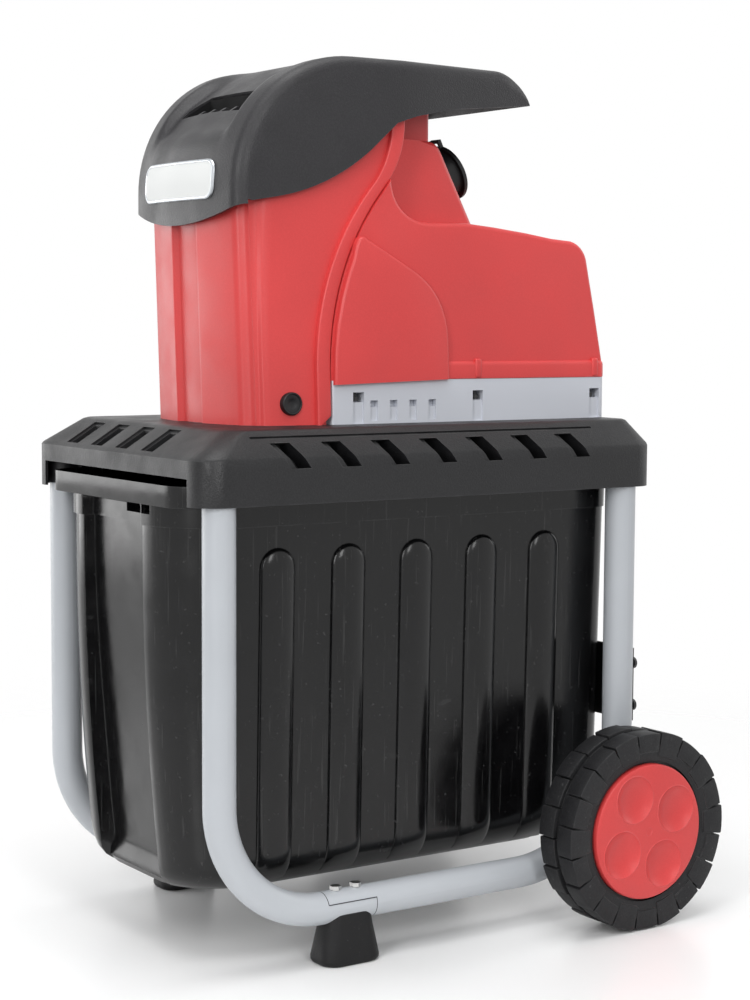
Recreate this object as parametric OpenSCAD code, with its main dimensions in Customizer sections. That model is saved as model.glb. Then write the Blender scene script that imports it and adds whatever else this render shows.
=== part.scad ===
// Electric garden shredder on a wheeled tube frame, with a collection box that pulls out.
// Millimetres. +Z is up, the box pulls out towards -Y, the wheels and the handle are at +Y.

/* [Frame] */
// Outside diameter of the frame tube
tube_d = 31; // [29:0.5:33]
// Wall of the frame tube
tube_wall = 2; // [1.5:0.25:3]
// Left leg to right leg, centre to centre
leg_gauge = 315; // [305:1:330]
// Front leg to rear leg, centre to centre
leg_base = 473; // [460:1:490]
// Height of the lower rail's axis
rail_z = 54; // [50:1:58]
// Bend radius of the front tubes on the centre line
bend_r = 110; // [95:1:112]
// Length of the half lap joint
lap_len = 54; // [48:1:58]
// Height of the lap's seam above the rail's axis
lap_rise = 6; // [3:0.5:7]
// Foot length along the rail, at the floor
foot_len = 64; // [58:1:70]
// Foot width at the floor
foot_w = 43; // [38:1:48]
// Height of the rear brace plate
brace_h = 76; // [60:1:90]
// Height of the brace's lower edge
brace_z = 194; // [180:1:220]

/* [Wheels] */
// Diameter of the wheel
wheel_d = 200; // [190:1:210]
// Width of the tyre
wheel_w = 50; // [44:1:54]
// How far the axle lies ahead of the rear legs
axle_ahead = 30; // [26:1:36]
// Diameter of the axle
axle_d = 12; // [10:0.5:14]
// Space between a tube and its wheel
wheel_gap = 20; // [16:1:26]
// Diameter of the hub cap
hub_cap_d = 136; // [126:1:140]
// Tread blocks in one row
tread_blocks = 20; // [12:1:24]

/* [Deck] */
// Height of the deck's lower edge
deck_z = 439; // [430:1:450]
// Height of the skirt
skirt_h = 43; // [40:1:48]
// Height of the bevel above the skirt
bevel_h = 25; // [22:1:28]
// Overhang past the leg centres at the sides
deck_side = 18; // [17.5:0.5:22]
// Overhang past the leg centres in front
deck_front = 27; // [25:1:32]
// Overhang past the leg centres at the rear
deck_rear = 34; // [30:1:40]
// Wall of the deck
deck_wall = 4; // [3:0.5:5]
// Radius of the deck's corners
deck_corner_r = 26; // [22:1:30]
// Slots along each side
side_slots = 7; // [4:1:7]

/* [Box] */
// Height of the box's underside
box_z = 66; // [60:1:72]
// Wall of the collection box
box_wall = 3; // [2.5:0.5:4]
// Ridges on each side of the box
ridges = 5; // [3:1:5]
// Width of the grip recess
recess_w = 130; // [110:1:150]
// Depth of the grip recess
recess_d = 22; // [16:1:26]

/* [Motor housing] */
// Width of the motor base
base_w = 224; // [216:1:232]
// Height of the motor base
base_h = 42; // [38:1:46]
// Wall of the housings
shell = 3; // [2.5:0.25:3.5]
// Height of the motor cover above the deck
cover_h = 197; // [192:1:204]
// Tilt of the neck's rear face
neck_tilt = 26; // [22:1:30]

/* [Hood] */
// Height of the hood's top above the deck
hood_h = 350; // [345:1:358]
// Width of the hood at its front
hood_w = 202; // [198:1:206]
// Radius of the hood's front curve
hood_r = 127; // [122:1:130]
// Width of the feed opening
feed_w = 100; // [90:1:104]
// Length of the feed opening
feed_len = 36; // [30:1:38]

/* [Cutter] */
// Diameter of the cutter roller over its teeth
roller_d = 76; // [70:1:78]
// Length of the cutter roller
roller_len = 52; // [48:1:53]
// Teeth of the cutter roller
roller_teeth = 8; // [6:1:10]
// Module of the gears
gear_module = 1.25; // [1.1:0.05:1.25]
// Teeth of each pinion
pinion_teeth = 12; // [12:1:14]
// Teeth of each large gear
wheel_teeth = 60; // [56:1:60]
// Outside diameter of the stator
stator_d = 106; // [96:1:108]
// Length of the stator
stator_len = 84; // [70:1:90]

/* [Hidden] */
$fn = 48;
hull_fn = 32;
eps = 0.01;
// Radial room of a shaft in its bush, and of a piece that is only placed
run_fit = 0.06;
loose = 0.2;
// Room between pieces that slide past each other
slide_gap = 0.3;

red = [0.80, 0.20, 0.19];
dark_grey = [0.20, 0.20, 0.21];
black = [0.07, 0.07, 0.07];
pale_grey = [0.80, 0.81, 0.83];
tube_grey = [0.74, 0.76, 0.77];
steel = [0.62, 0.63, 0.65];
cast = [0.70, 0.70, 0.71];
copper = [0.72, 0.40, 0.22];

// Frame
leg_x = leg_gauge / 2;
front_leg_y = -leg_base / 2;
rear_leg_y = leg_base / 2;
tube_r = tube_d / 2;
tube_bore_r = tube_r - tube_wall;
deck_top = deck_z + skirt_h + bevel_h;
leg_top = deck_z + skirt_h - 12;
axle_y = rear_leg_y - axle_ahead;
axle_z = wheel_d / 2;
axle_rise = axle_z - rail_z;
// Rear bend radius that carries the tube's centre line through the axle
rear_bend_r = axle_ahead + axle_rise + sqrt(2 * axle_ahead * axle_rise);
lap_y0 = front_leg_y + bend_r;
lap_y1 = lap_y0 + lap_len;
lap_seam = rail_z + lap_rise;
bolt_ys = [lap_y0 + 0.3 * lap_len, lap_y0 + 0.72 * lap_len];
bolt_d = 6;
foot_y = (lap_y0 + lap_y1) / 2;
foot_h = rail_z - 8;
brace_t = 3;
brace_half = leg_x + 4;
brace_y = rear_leg_y + tube_r;

// Wheels
wheel_x0 = leg_x + tube_r + wheel_gap;
wheel_x1 = wheel_x0 + wheel_w;
tyre_bore_r = hub_cap_d / 2 + 3;
core_hub_x1 = wheel_x1 - 13;
cap_x0 = wheel_x1 - 7.5;
clip_t = 3;

// Centre of the whole machine along Y, which is moved to the origin
deck_y0 = front_leg_y - deck_front;
deck_y1 = rear_leg_y + deck_rear;
y_mid = (deck_y0 + axle_y + wheel_d / 2) / 2;

// Deck
deck_half = leg_x + deck_side;
bevel_side = 22;
bevel_front = 42;
bevel_rear = 18;
top_corner_r = 16;
front_gap = bevel_h;
slot_pitch = 55;
front_slot_pitch = 52;
pad_r = tube_r + 1.5;
spigot_len = 40;

// Box, which passes between the legs
box_flange_half = leg_x - tube_r - 1;
box_half = box_flange_half - 6;
box_foot_half = box_half - 9;
box_y0 = deck_y0 + 5.5;
box_y1 = brace_y - 6;
// The box's foot ends ahead of the axle, and its rear part passes above it
box_foot_y1 = axle_y - axle_d / 2 - 6;
box_step_z = axle_z + axle_d / 2 + 8;
box_ledge_z = deck_z - 23;
box_rim_z = deck_z + 10;
box_top = box_rim_z + 7;
ridge_r = 22;
ridge_pitch = 79;
rail_lip = 3;
rail_y = leg_base / 2 - tube_r - 6;

// Heights above the deck's top
base_half = base_w / 2;
base_y0 = -86;
base_y1 = 250;
base_floor = 4;
cover_lip = 17;
cover_r = 18;
screw_ys = [-57, 87, 235];
screw_z = 26;
roller_y = -127;
roller_z = 45;
gear_gap = gear_module * (pinion_teeth + wheel_teeth) / 2;
motor_z = roller_z + 80;
lay_z = (roller_z + motor_z) / 2;
lay_x = sqrt(gear_gap * gear_gap - 40 * 40);
flange_y = -87;
flange_z = 53;
flange_turn = 42;
flange_r1 = 261;
flange_r2 = 97;
flange_w = 12;
flange_proud = 4;
hopper_top = 293;
// The hopper's top end fits inside the hood
hopper_top_x = hood_w / 2 - 5;
hood_arc_z = hood_h - hood_r;
hood_arc_y = -57;
hood_edge_r = 12;
hood_wall = 3.5;
hood_bow = 10;
hood_tail_y = 118;
hood_tail_r = 32;
hood_tail_turn = 48;
hood_tail_len = 36;
neck_z0 = 193;
neck_z1 = 277;
neck_top = hood_h - 18;
neck_y = 94;
feed_y0 = roller_y - 33;
feed_y1 = feed_y0 + feed_len;
frame_y0 = feed_y0 - shell;
plate_t = 8;
gearbox_y0 = roller_y + roller_len / 2 + 6;
gear_w = 16;
pair_gap = 3;
out_gear_y = gearbox_y0 + 12;
lay_gear_y = out_gear_y + gear_w + pair_gap;
gearbox_y1 = lay_gear_y + gear_w + pair_gap;
cover_t = 10;
box_wall_t = 6;
stator_y0 = gearbox_y1 + cover_t + 50;
stator_y1 = stator_y0 + stator_len;
shield_len = 36;
shaft_r = 7;
roller_shaft_r = 9;
bush_t = 4;
adjuster_z = 20.5;
adjuster_r = 5;
plug_r = 10.5;
// The hopper's side panel runs from its front corner to the flange
hopper_corner_x = 95;
hopper_corner_y = -163;
hopper_rear_y = -92;
hopper_rear_x = base_half - 3;
plug_x = hopper_corner_x
  + (hopper_rear_x - hopper_corner_x) * (roller_y - hopper_corner_y) / (hopper_rear_y - hopper_corner_y);

// Points along an arc from angle a0 to a1
function arc(cx, cy, r, a0, a1, n) =
  [for (i = [0:n]) let (a = a0 + (a1 - a0) * i / n) [cx + r * cos(a), cy + r * sin(a)]];

// Places children that are drawn from the middle of the legs
module centred() { translate([0, -y_mid, 0]) children(); }
// Places children that are drawn from the deck's top
module on_deck() { translate([0, -y_mid, deck_top]) children(); }
// Extrudes an outline given in Y and Z between two X values
module across(pts, x0, x1) {
  translate([x0, 0, 0]) rotate([90, 0, 90]) linear_extrude(x1 - x0) polygon(pts);
}
// Round bar along X, Y or Z from its lower end
module bar_x(x0, x1, r) { translate([x0, 0, 0]) rotate([0, 90, 0]) cylinder(h = x1 - x0, r = r); }
module bar_y(y0, y1, r) { translate([0, y0, 0]) rotate([-90, 0, 0]) cylinder(h = y1 - y0, r = r); }
// Four posts at the corners of a rectangle
module posts(half, y0, y1, r, z, h) {
  for (x = [-half + r, half - r], y = [y0 + r, y1 - r])
    translate([x, y, z]) cylinder(h = h, r = r, $fn = hull_fn);
}
module mirrored() {
  children();
  mirror([1, 0, 0]) children();
}

// Frame tubes
module tube_ring() {
  difference() {
    circle(tube_r);
    circle(tube_bore_r);
  }
}
module straight_tube(y0, y1) {
  translate([0, y0, rail_z]) rotate([-90, 0, 0]) linear_extrude(y1 - y0) tube_ring();
}
module leg_tube(y, z0) { translate([0, y, z0]) linear_extrude(leg_top - z0) tube_ring(); }
// Quarter bend from the rail up to a leg at -Y
module bend(y, r) {
  translate([0, y + r, rail_z + r]) rotate([180, 90, 0])
    rotate_extrude(angle = 90) translate([r, 0]) tube_ring();
}
module lap_cut(low) {
  translate([-tube_d, lap_y0, low ? lap_seam : rail_z - tube_d])
    cube([2 * tube_d, lap_len, low ? tube_d : lap_seam - rail_z + tube_d]);
}
module bolt_holes(d) {
  for (y = bolt_ys) translate([0, y, 0]) cylinder(h = rail_z + tube_d, d = d);
}
module front_tube(x) {
  color(tube_grey) centred() translate([x, 0, 0]) {
    leg_tube(front_leg_y, rail_z + bend_r);
    bend(front_leg_y, bend_r);
    difference() {
      straight_tube(lap_y0, lap_y1);
      lap_cut(true);
      bolt_holes(bolt_d + 2 * loose);
    }
  }
}
module rear_tube(x) {
  color(tube_grey) centred() translate([x, 0, 0]) difference() {
    union() {
      leg_tube(rear_leg_y, rail_z + rear_bend_r);
      mirror([0, 1, 0]) bend(-rear_leg_y, rear_bend_r);
      difference() {
        straight_tube(lap_y0, rear_leg_y - rear_bend_r);
        lap_cut(false);
        bolt_holes(bolt_d + 2 * loose);
      }
    }
    translate([0, axle_y, axle_z]) bar_x(-tube_d, tube_d, axle_d / 2 + loose);
  }
}
module left_front_tube() { front_tube(-leg_x); }
module right_front_tube() { front_tube(leg_x); }
module left_rear_tube() { rear_tube(-leg_x); }
module right_rear_tube() { rear_tube(leg_x); }

// Feet with a saddle for the rail
module foot(x) {
  color(black) centred() translate([x, foot_y, 0]) difference() {
    hull() {
      posts(foot_w / 2, -foot_len / 2, foot_len / 2, 8, 0, 3);
      posts(foot_w / 2 - 6, 5 - foot_len / 2, foot_len / 2 - 5, 8, foot_h - 3, 3);
    }
    translate([0, 0, rail_z]) bar_y(-foot_len, foot_len, tube_r + loose);
    for (y = bolt_ys) translate([0, y - foot_y, 12]) cylinder(h = foot_h, d = bolt_d + 2 * loose);
  }
}
module left_foot() { foot(-leg_x); }
module right_foot() { foot(leg_x); }
module foot_bolts() {
  color(steel) centred() for (x = [-leg_x, leg_x], y = bolt_ys) translate([x, y, 0]) {
    translate([0, 0, 12]) cylinder(h = rail_z + tube_r - 12 + eps, d = bolt_d);
    translate([0, 0, rail_z + tube_r]) cylinder(h = 4, d = 11, $fn = 6);
  }
}

// Plate across the backs of the rear legs
module rear_brace() {
  color(black) centred() difference() {
    translate([-brace_half, brace_y, brace_z]) cube([2 * brace_half, brace_t, brace_h]);
    brace_holes(bolt_d / 2 + loose);
  }
}
module brace_holes(r) {
  for (x = [-leg_x, leg_x], z = [brace_z + 16, brace_z + brace_h - 16])
    translate([x, 0, z]) bar_y(brace_y - 1, brace_y + brace_t + 1, r);
}
module brace_screws() {
  color(steel) centred() for (x = [-leg_x, leg_x], z = [brace_z + 16, brace_z + brace_h - 16])
    translate([x, 0, z]) {
      bar_y(brace_y, brace_y + brace_t, bolt_d / 2);
      bar_y(brace_y + brace_t, brace_y + brace_t + 3, bolt_d);
    }
}

// Axle with its spacers and clips
module axle() {
  color(steel) centred() translate([0, axle_y, axle_z])
    bar_x(-core_hub_x1 - clip_t - 2, core_hub_x1 + clip_t + 2, axle_d / 2);
}
module axle_ring(x0, x1, r) {
  difference() {
    bar_x(x0, x1, r);
    bar_x(x0 - 1, x1 + 1, axle_d / 2 + eps);
  }
}
module axle_spacers() {
  color(black) centred() translate([0, axle_y, axle_z]) mirrored()
    axle_ring(leg_x + tube_r + loose, wheel_x0 - slide_gap, axle_d / 2 + 4);
}
module axle_clips() {
  color(steel) centred() translate([0, axle_y, axle_z]) mirrored()
    axle_ring(core_hub_x1 + slide_gap, core_hub_x1 + clip_t, axle_d / 2 + 4);
}

// Wheels, drawn on the right and mirrored to the left
module wheel_place() { centred() translate([0, axle_y, axle_z]) children(); }
module spun(pts) { rotate([0, 90, 0]) rotate_extrude($fn = 96) polygon(pts); }
tyre_r = wheel_d / 2;
tread_depth = 5;
module tyre() {
  difference() {
    spun([
      [tyre_bore_r, wheel_x0 + 2], [tyre_r - 12, wheel_x0], [tyre_r - 3, wheel_x0 + 5],
      [tyre_r, wheel_x0 + 12], [tyre_r, wheel_x1 - 12], [tyre_r - 3, wheel_x1 - 5],
      [tyre_r - 12, wheel_x1], [tyre_bore_r, wheel_x1 - 2]
    ]);
    for (i = [0:tread_blocks - 1], row = [0, 1])
      rotate([(i + row / 2) * 360 / tread_blocks, 0, 0])
        translate([row == 0 ? wheel_x0 - 1 : wheel_x0 + wheel_w / 2 + 2, -2, tyre_r - tread_depth])
          cube([wheel_w / 2 - 1, 4, 2 * tread_depth]);
  }
}
module wheel_core() {
  bore = axle_d / 2 + run_fit;
  spun([
    [bore, wheel_x0], [bore + 9, wheel_x0], [bore + 9, wheel_x0 + 18], [tyre_bore_r - 6, wheel_x0 + 18],
    [tyre_bore_r - 6, wheel_x0 + 3], [tyre_bore_r, wheel_x0 + 3], [tyre_bore_r, cap_x0],
    [tyre_bore_r - 6, cap_x0], [tyre_bore_r - 6, wheel_x0 + 24], [bore + 9, wheel_x0 + 24],
    [bore + 9, core_hub_x1], [bore, core_hub_x1]
  ]);
}
dimple_r = 47;
dimple_depth = 5.5;
module hub_cap() {
  cap_r = hub_cap_d / 2;
  difference() {
    spun([[0, cap_x0], [cap_r, cap_x0], [cap_r, wheel_x1 - 2], [cap_r - 3, wheel_x1], [0, wheel_x1]]);
    for (i = [0:3]) rotate([27 + 90 * i, 0, 0])
      translate([wheel_x1 + dimple_r - dimple_depth, 0, 0.5 * cap_r]) sphere(dimple_r);
  }
}
module left_tyre() { color(black) wheel_place() mirror([1, 0, 0]) tyre(); }
module right_tyre() { color(black) wheel_place() tyre(); }
module left_wheel_core() { color(black) wheel_place() mirror([1, 0, 0]) wheel_core(); }
module right_wheel_core() { color(black) wheel_place() wheel_core(); }
module left_hub_cap() { color(red) wheel_place() mirror([1, 0, 0]) hub_cap(); }
module right_hub_cap() { color(red) wheel_place() hub_cap(); }

// Deck: a skirt and a bevel, hollow below, with plugs for the legs
module deck_form(w) {
  hull() {
    posts(deck_half - w, deck_y0 + w, deck_y1 - w, deck_corner_r - w, deck_z - (w > 0 ? 1 : 0),
      skirt_h + (w > 0 ? 1 : 0) - w / 2);
    posts(deck_half - bevel_side - w / 2, deck_y0 + bevel_front + w / 2, deck_y1 - bevel_rear - w / 2,
      top_corner_r, deck_top - 1 - w, 1);
  }
}
module side_slot_cuts() {
  slot = [[-4, -12], [13, -12], [1, 13], [-16, 13]];
  mirrored() for (i = [0:side_slots - 1])
    translate([0, -6 + (i - (side_slots - 1) / 2) * slot_pitch, deck_z + skirt_h])
      across(slot, deck_half - bevel_side, deck_half + 1);
}
module front_slot_cuts() {
  for (i = [0:3]) translate([-17 + (i - 1.5) * front_slot_pitch - 10, deck_y0 - 1, deck_z + skirt_h - 6])
    cube([20, bevel_front - 4, bevel_h + 20]);
}
module deck() {
  color(dark_grey) centred() {
    difference() {
      deck_form(0);
      deck_form(deck_wall);
      side_slot_cuts();
      front_slot_cuts();
      translate([-discharge_half, discharge_y0, deck_z]) cube([2 * discharge_half, discharge_len, 100]);
      deck_screw_places() translate([0, 0, deck_z]) cylinder(h = 100, d = deck_screw_d + 2 * loose);
      for (x = [-leg_x, leg_x], y = [front_leg_y, rear_leg_y]) translate([x, y, deck_z - 1])
        cylinder(h = leg_top - deck_z + 1, r = tube_r + loose);
      translate([-leg_x + 8, deck_y0 - 1, deck_z - 1]) cube([2 * leg_x - 16, deck_wall + 3, front_gap + 1]);
    }
    for (x = [-leg_x, leg_x], y = [front_leg_y, rear_leg_y]) translate([x, y, 0]) {
      translate([0, 0, leg_top]) cylinder(h = deck_z + skirt_h - leg_top, r = pad_r);
      translate([0, 0, leg_top - spigot_len]) cylinder(h = spigot_len + 1, r = tube_bore_r - loose);
    }
  }
}
discharge_half = 46;
discharge_y0 = roller_y - roller_len / 2 - 4;
discharge_len = roller_len + 8;
deck_screw_ys = [0, 180];
deck_screw_x = 80;
deck_screw_d = 5;
module deck_screw_places() {
  for (x = [-deck_screw_x, deck_screw_x], y = deck_screw_ys) translate([x, y, 0]) children();
}
module deck_screws() {
  color(steel) on_deck() deck_screw_places() {
    translate([0, 0, -deck_wall - 4]) cylinder(h = 4, d = 2 * deck_screw_d);
    translate([0, 0, -deck_wall]) cylinder(h = deck_wall + base_floor, d = deck_screw_d);
  }
}

// Rails under the deck that carry the box's flange
module box_rails() {
  web_x = box_flange_half + 2.5;
  color(black) centred() mirrored() translate([0, -rail_y, 0]) {
    translate([web_x, 0, box_rim_z - rail_lip])
      cube([3, 2 * rail_y, deck_top - deck_wall - box_rim_z + rail_lip]);
    translate([box_half + 2, 0, box_rim_z - rail_lip]) cube([web_x - box_half - 1, 2 * rail_y, rail_lip]);
  }
}

// Collection box
module box_mouth(w) {
  front_r = 85;
  rear_r = 26;
  for (x = [-1, 1]) {
    translate([x * (box_half - front_r), box_y0 + front_r, box_top - 1])
      cylinder(h = 1 + w, r = front_r - w, $fn = 64);
    translate([x * (box_half - rear_r), box_y1 - rear_r, box_top - 1])
      cylinder(h = 1 + w, r = rear_r - w, $fn = hull_fn);
  }
}
module box_form(w) {
  foot_r = 55;
  rear_foot_r = 24;
  hull() {
    box_mouth(w);
    for (x = [-1, 1]) {
      translate([x * (box_foot_half - foot_r), box_y0 + 18 + foot_r, box_z + foot_r])
        sphere(foot_r - w, $fn = hull_fn);
      translate([x * (box_foot_half - rear_foot_r), box_foot_y1 - rear_foot_r, box_z + rear_foot_r])
        sphere(rear_foot_r - w, $fn = 24);
    }
  }
  hull() {
    box_mouth(w);
    for (x = [-1, 1])
      translate([x * (box_half - 6 - rear_foot_r), box_y1 - 2 - rear_foot_r, box_step_z + rear_foot_r])
        sphere(rear_foot_r - w, $fn = 24);
  }
}
module grip_recess(w) {
  half = recess_w / 2 + w;
  depth = recess_d + w;
  translate([0, box_y0, 0]) across([
    [-20, box_ledge_z - 6], [depth, box_ledge_z - 6 + w], [depth + 6, box_z + 110],
    [depth - 6, box_z + 40 - w], [-20, box_z + 40 - w]
  ], -half, half);
}
module collection_box() {
  color(black) centred() difference() {
    union() {
      difference() {
        union() {
          box_form(0);
          mirrored() for (i = [0:ridges - 1])
            translate([box_half + 4 - ridge_r, -2 + (i - (ridges - 1) / 2) * ridge_pitch, 0]) {
              translate([0, 0, box_z + 40]) cylinder(h = box_ledge_z - box_z - 66, r = ridge_r);
              for (z = [box_z + 40, box_ledge_z - 26]) translate([0, 0, z]) sphere(ridge_r);
            }
        }
        grip_recess(0);
      }
      hull() posts(box_half + 2, box_y0 + 2, box_y1 + 2, 26, box_ledge_z, box_top - box_ledge_z);
      hull() posts(box_flange_half, box_y0, box_y1 + 2, 26, box_rim_z + slide_gap,
        box_top - box_rim_z - slide_gap);
    }
    difference() {
      box_form(box_wall);
      grip_recess(box_wall);
    }
  }
}

// Light grey base under the motor cover
module base_ring(w, z, h) {
  hull() {
    posts(base_half - w, base_y0 + 30, base_y1 - w, 14 - w, z, h);
    translate([-base_half + w, base_y0 - (w > 0 ? 1 : 0), z]) cube([2 * (base_half - w), 30, h]);
  }
}
module screw_columns(z, h, r) {
  mirrored() for (y = screw_ys) translate([base_half - shell - 3, y, z]) cylinder(h = h, r = r);
}
vent_ys = [-38, -15, 8, 31];
module motor_base() {
  color(pale_grey) on_deck() difference() {
    union() {
      difference() {
        base_ring(0, 0, base_h);
        base_ring(shell, -1, base_h + 2);
      }
      difference() {
        base_ring(shell / 2, 0, base_floor);
        translate([-base_w, base_y0 - 60, -1]) cube([2 * base_w, 60 + base_floor_y - base_y0, base_h]);
        deck_screw_places() translate([0, 0, -1]) cylinder(h = base_h, d = deck_screw_d + 2 * loose);
      }
      screw_columns(0, base_h, 5);
    }
    screw_columns(-1, base_h + 2, 2 + loose);
    mirrored() {
      for (y = screw_ys) translate([base_half - 11, y - 6, 14]) cube([14, 12, screw_z - 14]);
      for (y = vent_ys) translate([base_half - shell - 1, y - 4, 7]) cube([shell + 2, 8, 15]);
    }
  }
}
base_floor_y = stator_y0 - 40;
module case_screws() {
  color(steel) on_deck() {
    screw_columns(screw_z - 4, 4, 4);
    screw_columns(screw_z - 1, base_h - screw_z + 15, 2);
  }
}

// Outline of the flange between hopper and motor cover, in Y and Z
flange_end_y = flange_y + flange_r1 * (1 - cos(flange_turn));
flange_end_z = flange_z + flange_r1 * sin(flange_turn);
function flange_curve(d) = concat(
  [[flange_y - d, -1]],
  arc(flange_y + flange_r1, flange_z, flange_r1 + d, 180, 180 - flange_turn, 10),
  arc(flange_end_y - flange_r2 * cos(flange_turn), flange_end_z + flange_r2 * sin(flange_turn),
    flange_r2 - d, -flange_turn, 0, 6));
function flange_top_y() = flange_end_y + flange_r2 * (1 - cos(flange_turn));
function front_zone(d) = concat(flange_curve(d), [[flange_top_y() - d, 500], [-400, 500], [-400, -1]]);

// Motor cover with the neck that carries the hood
module cover_body(w) {
  r = cover_r - w;
  hull() {
    posts(base_half - w, base_y0 - 20, base_y1 + 2 - w, 14 - w, base_h + cover_lip - (w > 0 ? 30 : 0), 1);
    for (s = [-1, 1]) {
      translate([s * (base_half - 2 - cover_r), base_y0, cover_h - cover_r]) sphere(r, $fn = 24);
      translate([s * (base_half - 2 - cover_r), 75, cover_h - cover_r]) sphere(r, $fn = 24);
      translate([s * (base_half - 4 - cover_r), base_y1 - 50, cover_h - 16 - cover_r]) sphere(r, $fn = 24);
      translate([s * (base_half - 3 - cover_r), base_y1 - 34, cover_h - 37 - cover_r]) sphere(r, $fn = 24);
    }
  }
}
// Cheeks that sweep from the cover's top up to the flange, in Y and Z
cove_r = 41.5;
module cove(w) {
  half = base_half - 2 - w;
  across(concat(arc(27, 236, cove_r + w, 180, 270, 8), [[27, 180], [-60, 180], [-60, 236]]), -half, half);
}
neck_half = 84;
neck_rear_1 = neck_y - (neck_z1 - neck_z0) * tan(neck_tilt);
module neck(w) {
  hull() {
    posts(neck_half - w, -80, neck_y - w / cos(neck_tilt), 10 - w, neck_z0 - 40, 40 - w * tan(neck_tilt));
    posts(neck_half - 6 - w, -40, neck_rear_1 - w / cos(neck_tilt), 10 - w, neck_z1 - 1 - w, 1);
  }
}
module neck_block(w) {
  posts_y1 = neck_rear_1 - 4;
  translate([-neck_half + 16 + w, -30, neck_z1 - 8 - w])
    cube([2 * (neck_half - 16 - w), posts_y1 + 30 - w, neck_top - neck_z1 + 8]);
}
module motor_cover() {
  color(red) on_deck() difference() {
    union() {
      cover_body(0);
      base_ring(0, base_h, cover_lip + 1);
      cove(0);
      neck(0);
      neck_block(0);
    }
    difference() {
      union() {
        cover_body(shell);
        base_ring(shell, base_h - 1, cover_lip + 2);
        cove(shell);
        neck(shell);
        neck_block(shell);
      }
      screw_columns(base_h, 20, 5);
    }
    across(front_zone(0), -base_w, base_w);
    screw_columns(base_h - 1, 16, 2 + loose);
    hood_screw_places() translate([0, 0, neck_top - 10]) cylinder(h = 20, d = hood_screw_d + 2 * loose);
    on_neck(inlet_x, 0) translate([0, 0, -20]) cylinder(h = 40, r = inlet_r - 5);
    on_neck(panel_x, 0) translate([-panel_w / 2 + 5, -panel_h / 2 + 5, -20])
      cube([panel_w - 10, panel_h - 10, 40]);
  }
}

// Feed hopper, a front shell with a raised flange along its rear edge
module hopper_form(w) {
  hull() {
    translate([0, 0, w > 0 ? -2 : 0]) linear_extrude(1)
      polygon([[0, -180 + w], [hopper_corner_x - w, hopper_corner_y + w], [hopper_rear_x - w, hopper_rear_y],
        [hopper_rear_x - w, -40], [-hopper_rear_x + w, -40], [-hopper_rear_x + w, hopper_rear_y],
        [-hopper_corner_x + w, hopper_corner_y + w]]);
    translate([0, 0, hopper_top]) linear_extrude(1)
      polygon([[0, -190 + w], [93 - w, -174 + w], [hopper_top_x - w, 0], [hopper_top_x - w, 40],
        [-hopper_top_x + w, 40], [-hopper_top_x + w, 0], [-93 + w, -174 + w]]);
  }
}
module hopper_shell() {
  color(red) on_deck() difference() {
    union() {
      intersection() {
        hopper_form(0);
        across(front_zone(0), -base_w, base_w);
      }
      intersection() {
        hopper_form(-flange_proud);
        difference() {
          across(front_zone(0), -base_w, base_w);
          across(front_zone(flange_w), -base_w - 1, base_w + 1);
        }
        translate([-base_w, -300, 0]) cube([2 * base_w, 600, hopper_top]);
      }
    }
    hopper_form(shell);
    across(hood_lap, -base_w, base_w);
    translate([0, 0, -60]) cube([400, 900, 120], center = true);
    translate([0, roller_y, adjuster_z]) bar_x(frame_half, base_w, plug_r + 0.5);
  }
}

// Hood
function hood_half(y) = y < 0 ? hood_w / 2 + 8 * (y - hood_front_y) / -hood_front_y
  : hood_w / 2 + 8 - 14 * y / hood_tail_y;
hood_front_y = hood_arc_y - hood_r;
hood_front = arc(hood_arc_y, hood_arc_z, hood_r - hood_edge_r, 180, 90, 9);
hood_tail = arc(hood_tail_y, hood_h - hood_tail_r, hood_tail_r - hood_edge_r, 90, hood_tail_turn, 3);
hood_tip = hood_tail[3] + hood_tail_len * [sin(hood_tail_turn), -cos(hood_tail_turn)];
// Round corner of the hood at a place on its outline, with s from -1 at the left to 1 at the right
module hood_corner(p, s, w) {
  bow = hood_bow * (1 - s * s) * (hood_arc_y - p[0]) / hood_r;
  translate([s * (hood_half(p[0]) - hood_edge_r), p[0] - bow, p[1]]) sphere(hood_edge_r - w, $fn = 24);
}
module hood_form(w) {
  hull() {
    for (s = [-1, -0.5, 0, 0.5, 1], p = hood_front) hood_corner(p, s, w);
    for (s = [-1, -0.5, 0, 0.5, 1]) hood_corner([hood_front_y + hood_edge_r, 150], s, w);
    for (s = [-1, 1], p = concat(hood_tail, [hood_tip, [0, 150]])) hood_corner(p, s, w);
  }
}
// Field around the feed opening that is sunk into the hood
trough_half = 70;
module trough(w) {
  across([[-178, 262 - w], [-155, 292 - w], [-135, 312 - w], [-60, hood_h + 1 - w], [-60, hood_h + 50],
    [-178 - w, hood_h + 50]], -trough_half - w, trough_half + w);
}
// Lower edge of the hood, in Y and Z
edge_r1 = 220;
edge_r2 = 60;
hood_edge = concat(
  arc(-150 - edge_r1 * sin(8), 213 + edge_r1 * cos(8), edge_r1, -90 + 8, -90 + 42, 8),
  arc(-20 + edge_r2 * sin(42), 280 - edge_r2 * cos(42), edge_r2, 90 + 42, 90 + 7, 6));
hood_area = concat([[-300, 186], [-168, 186], [-168, 209]], hood_edge, [[220, 322], [220, 500], [-300, 500]]);
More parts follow.
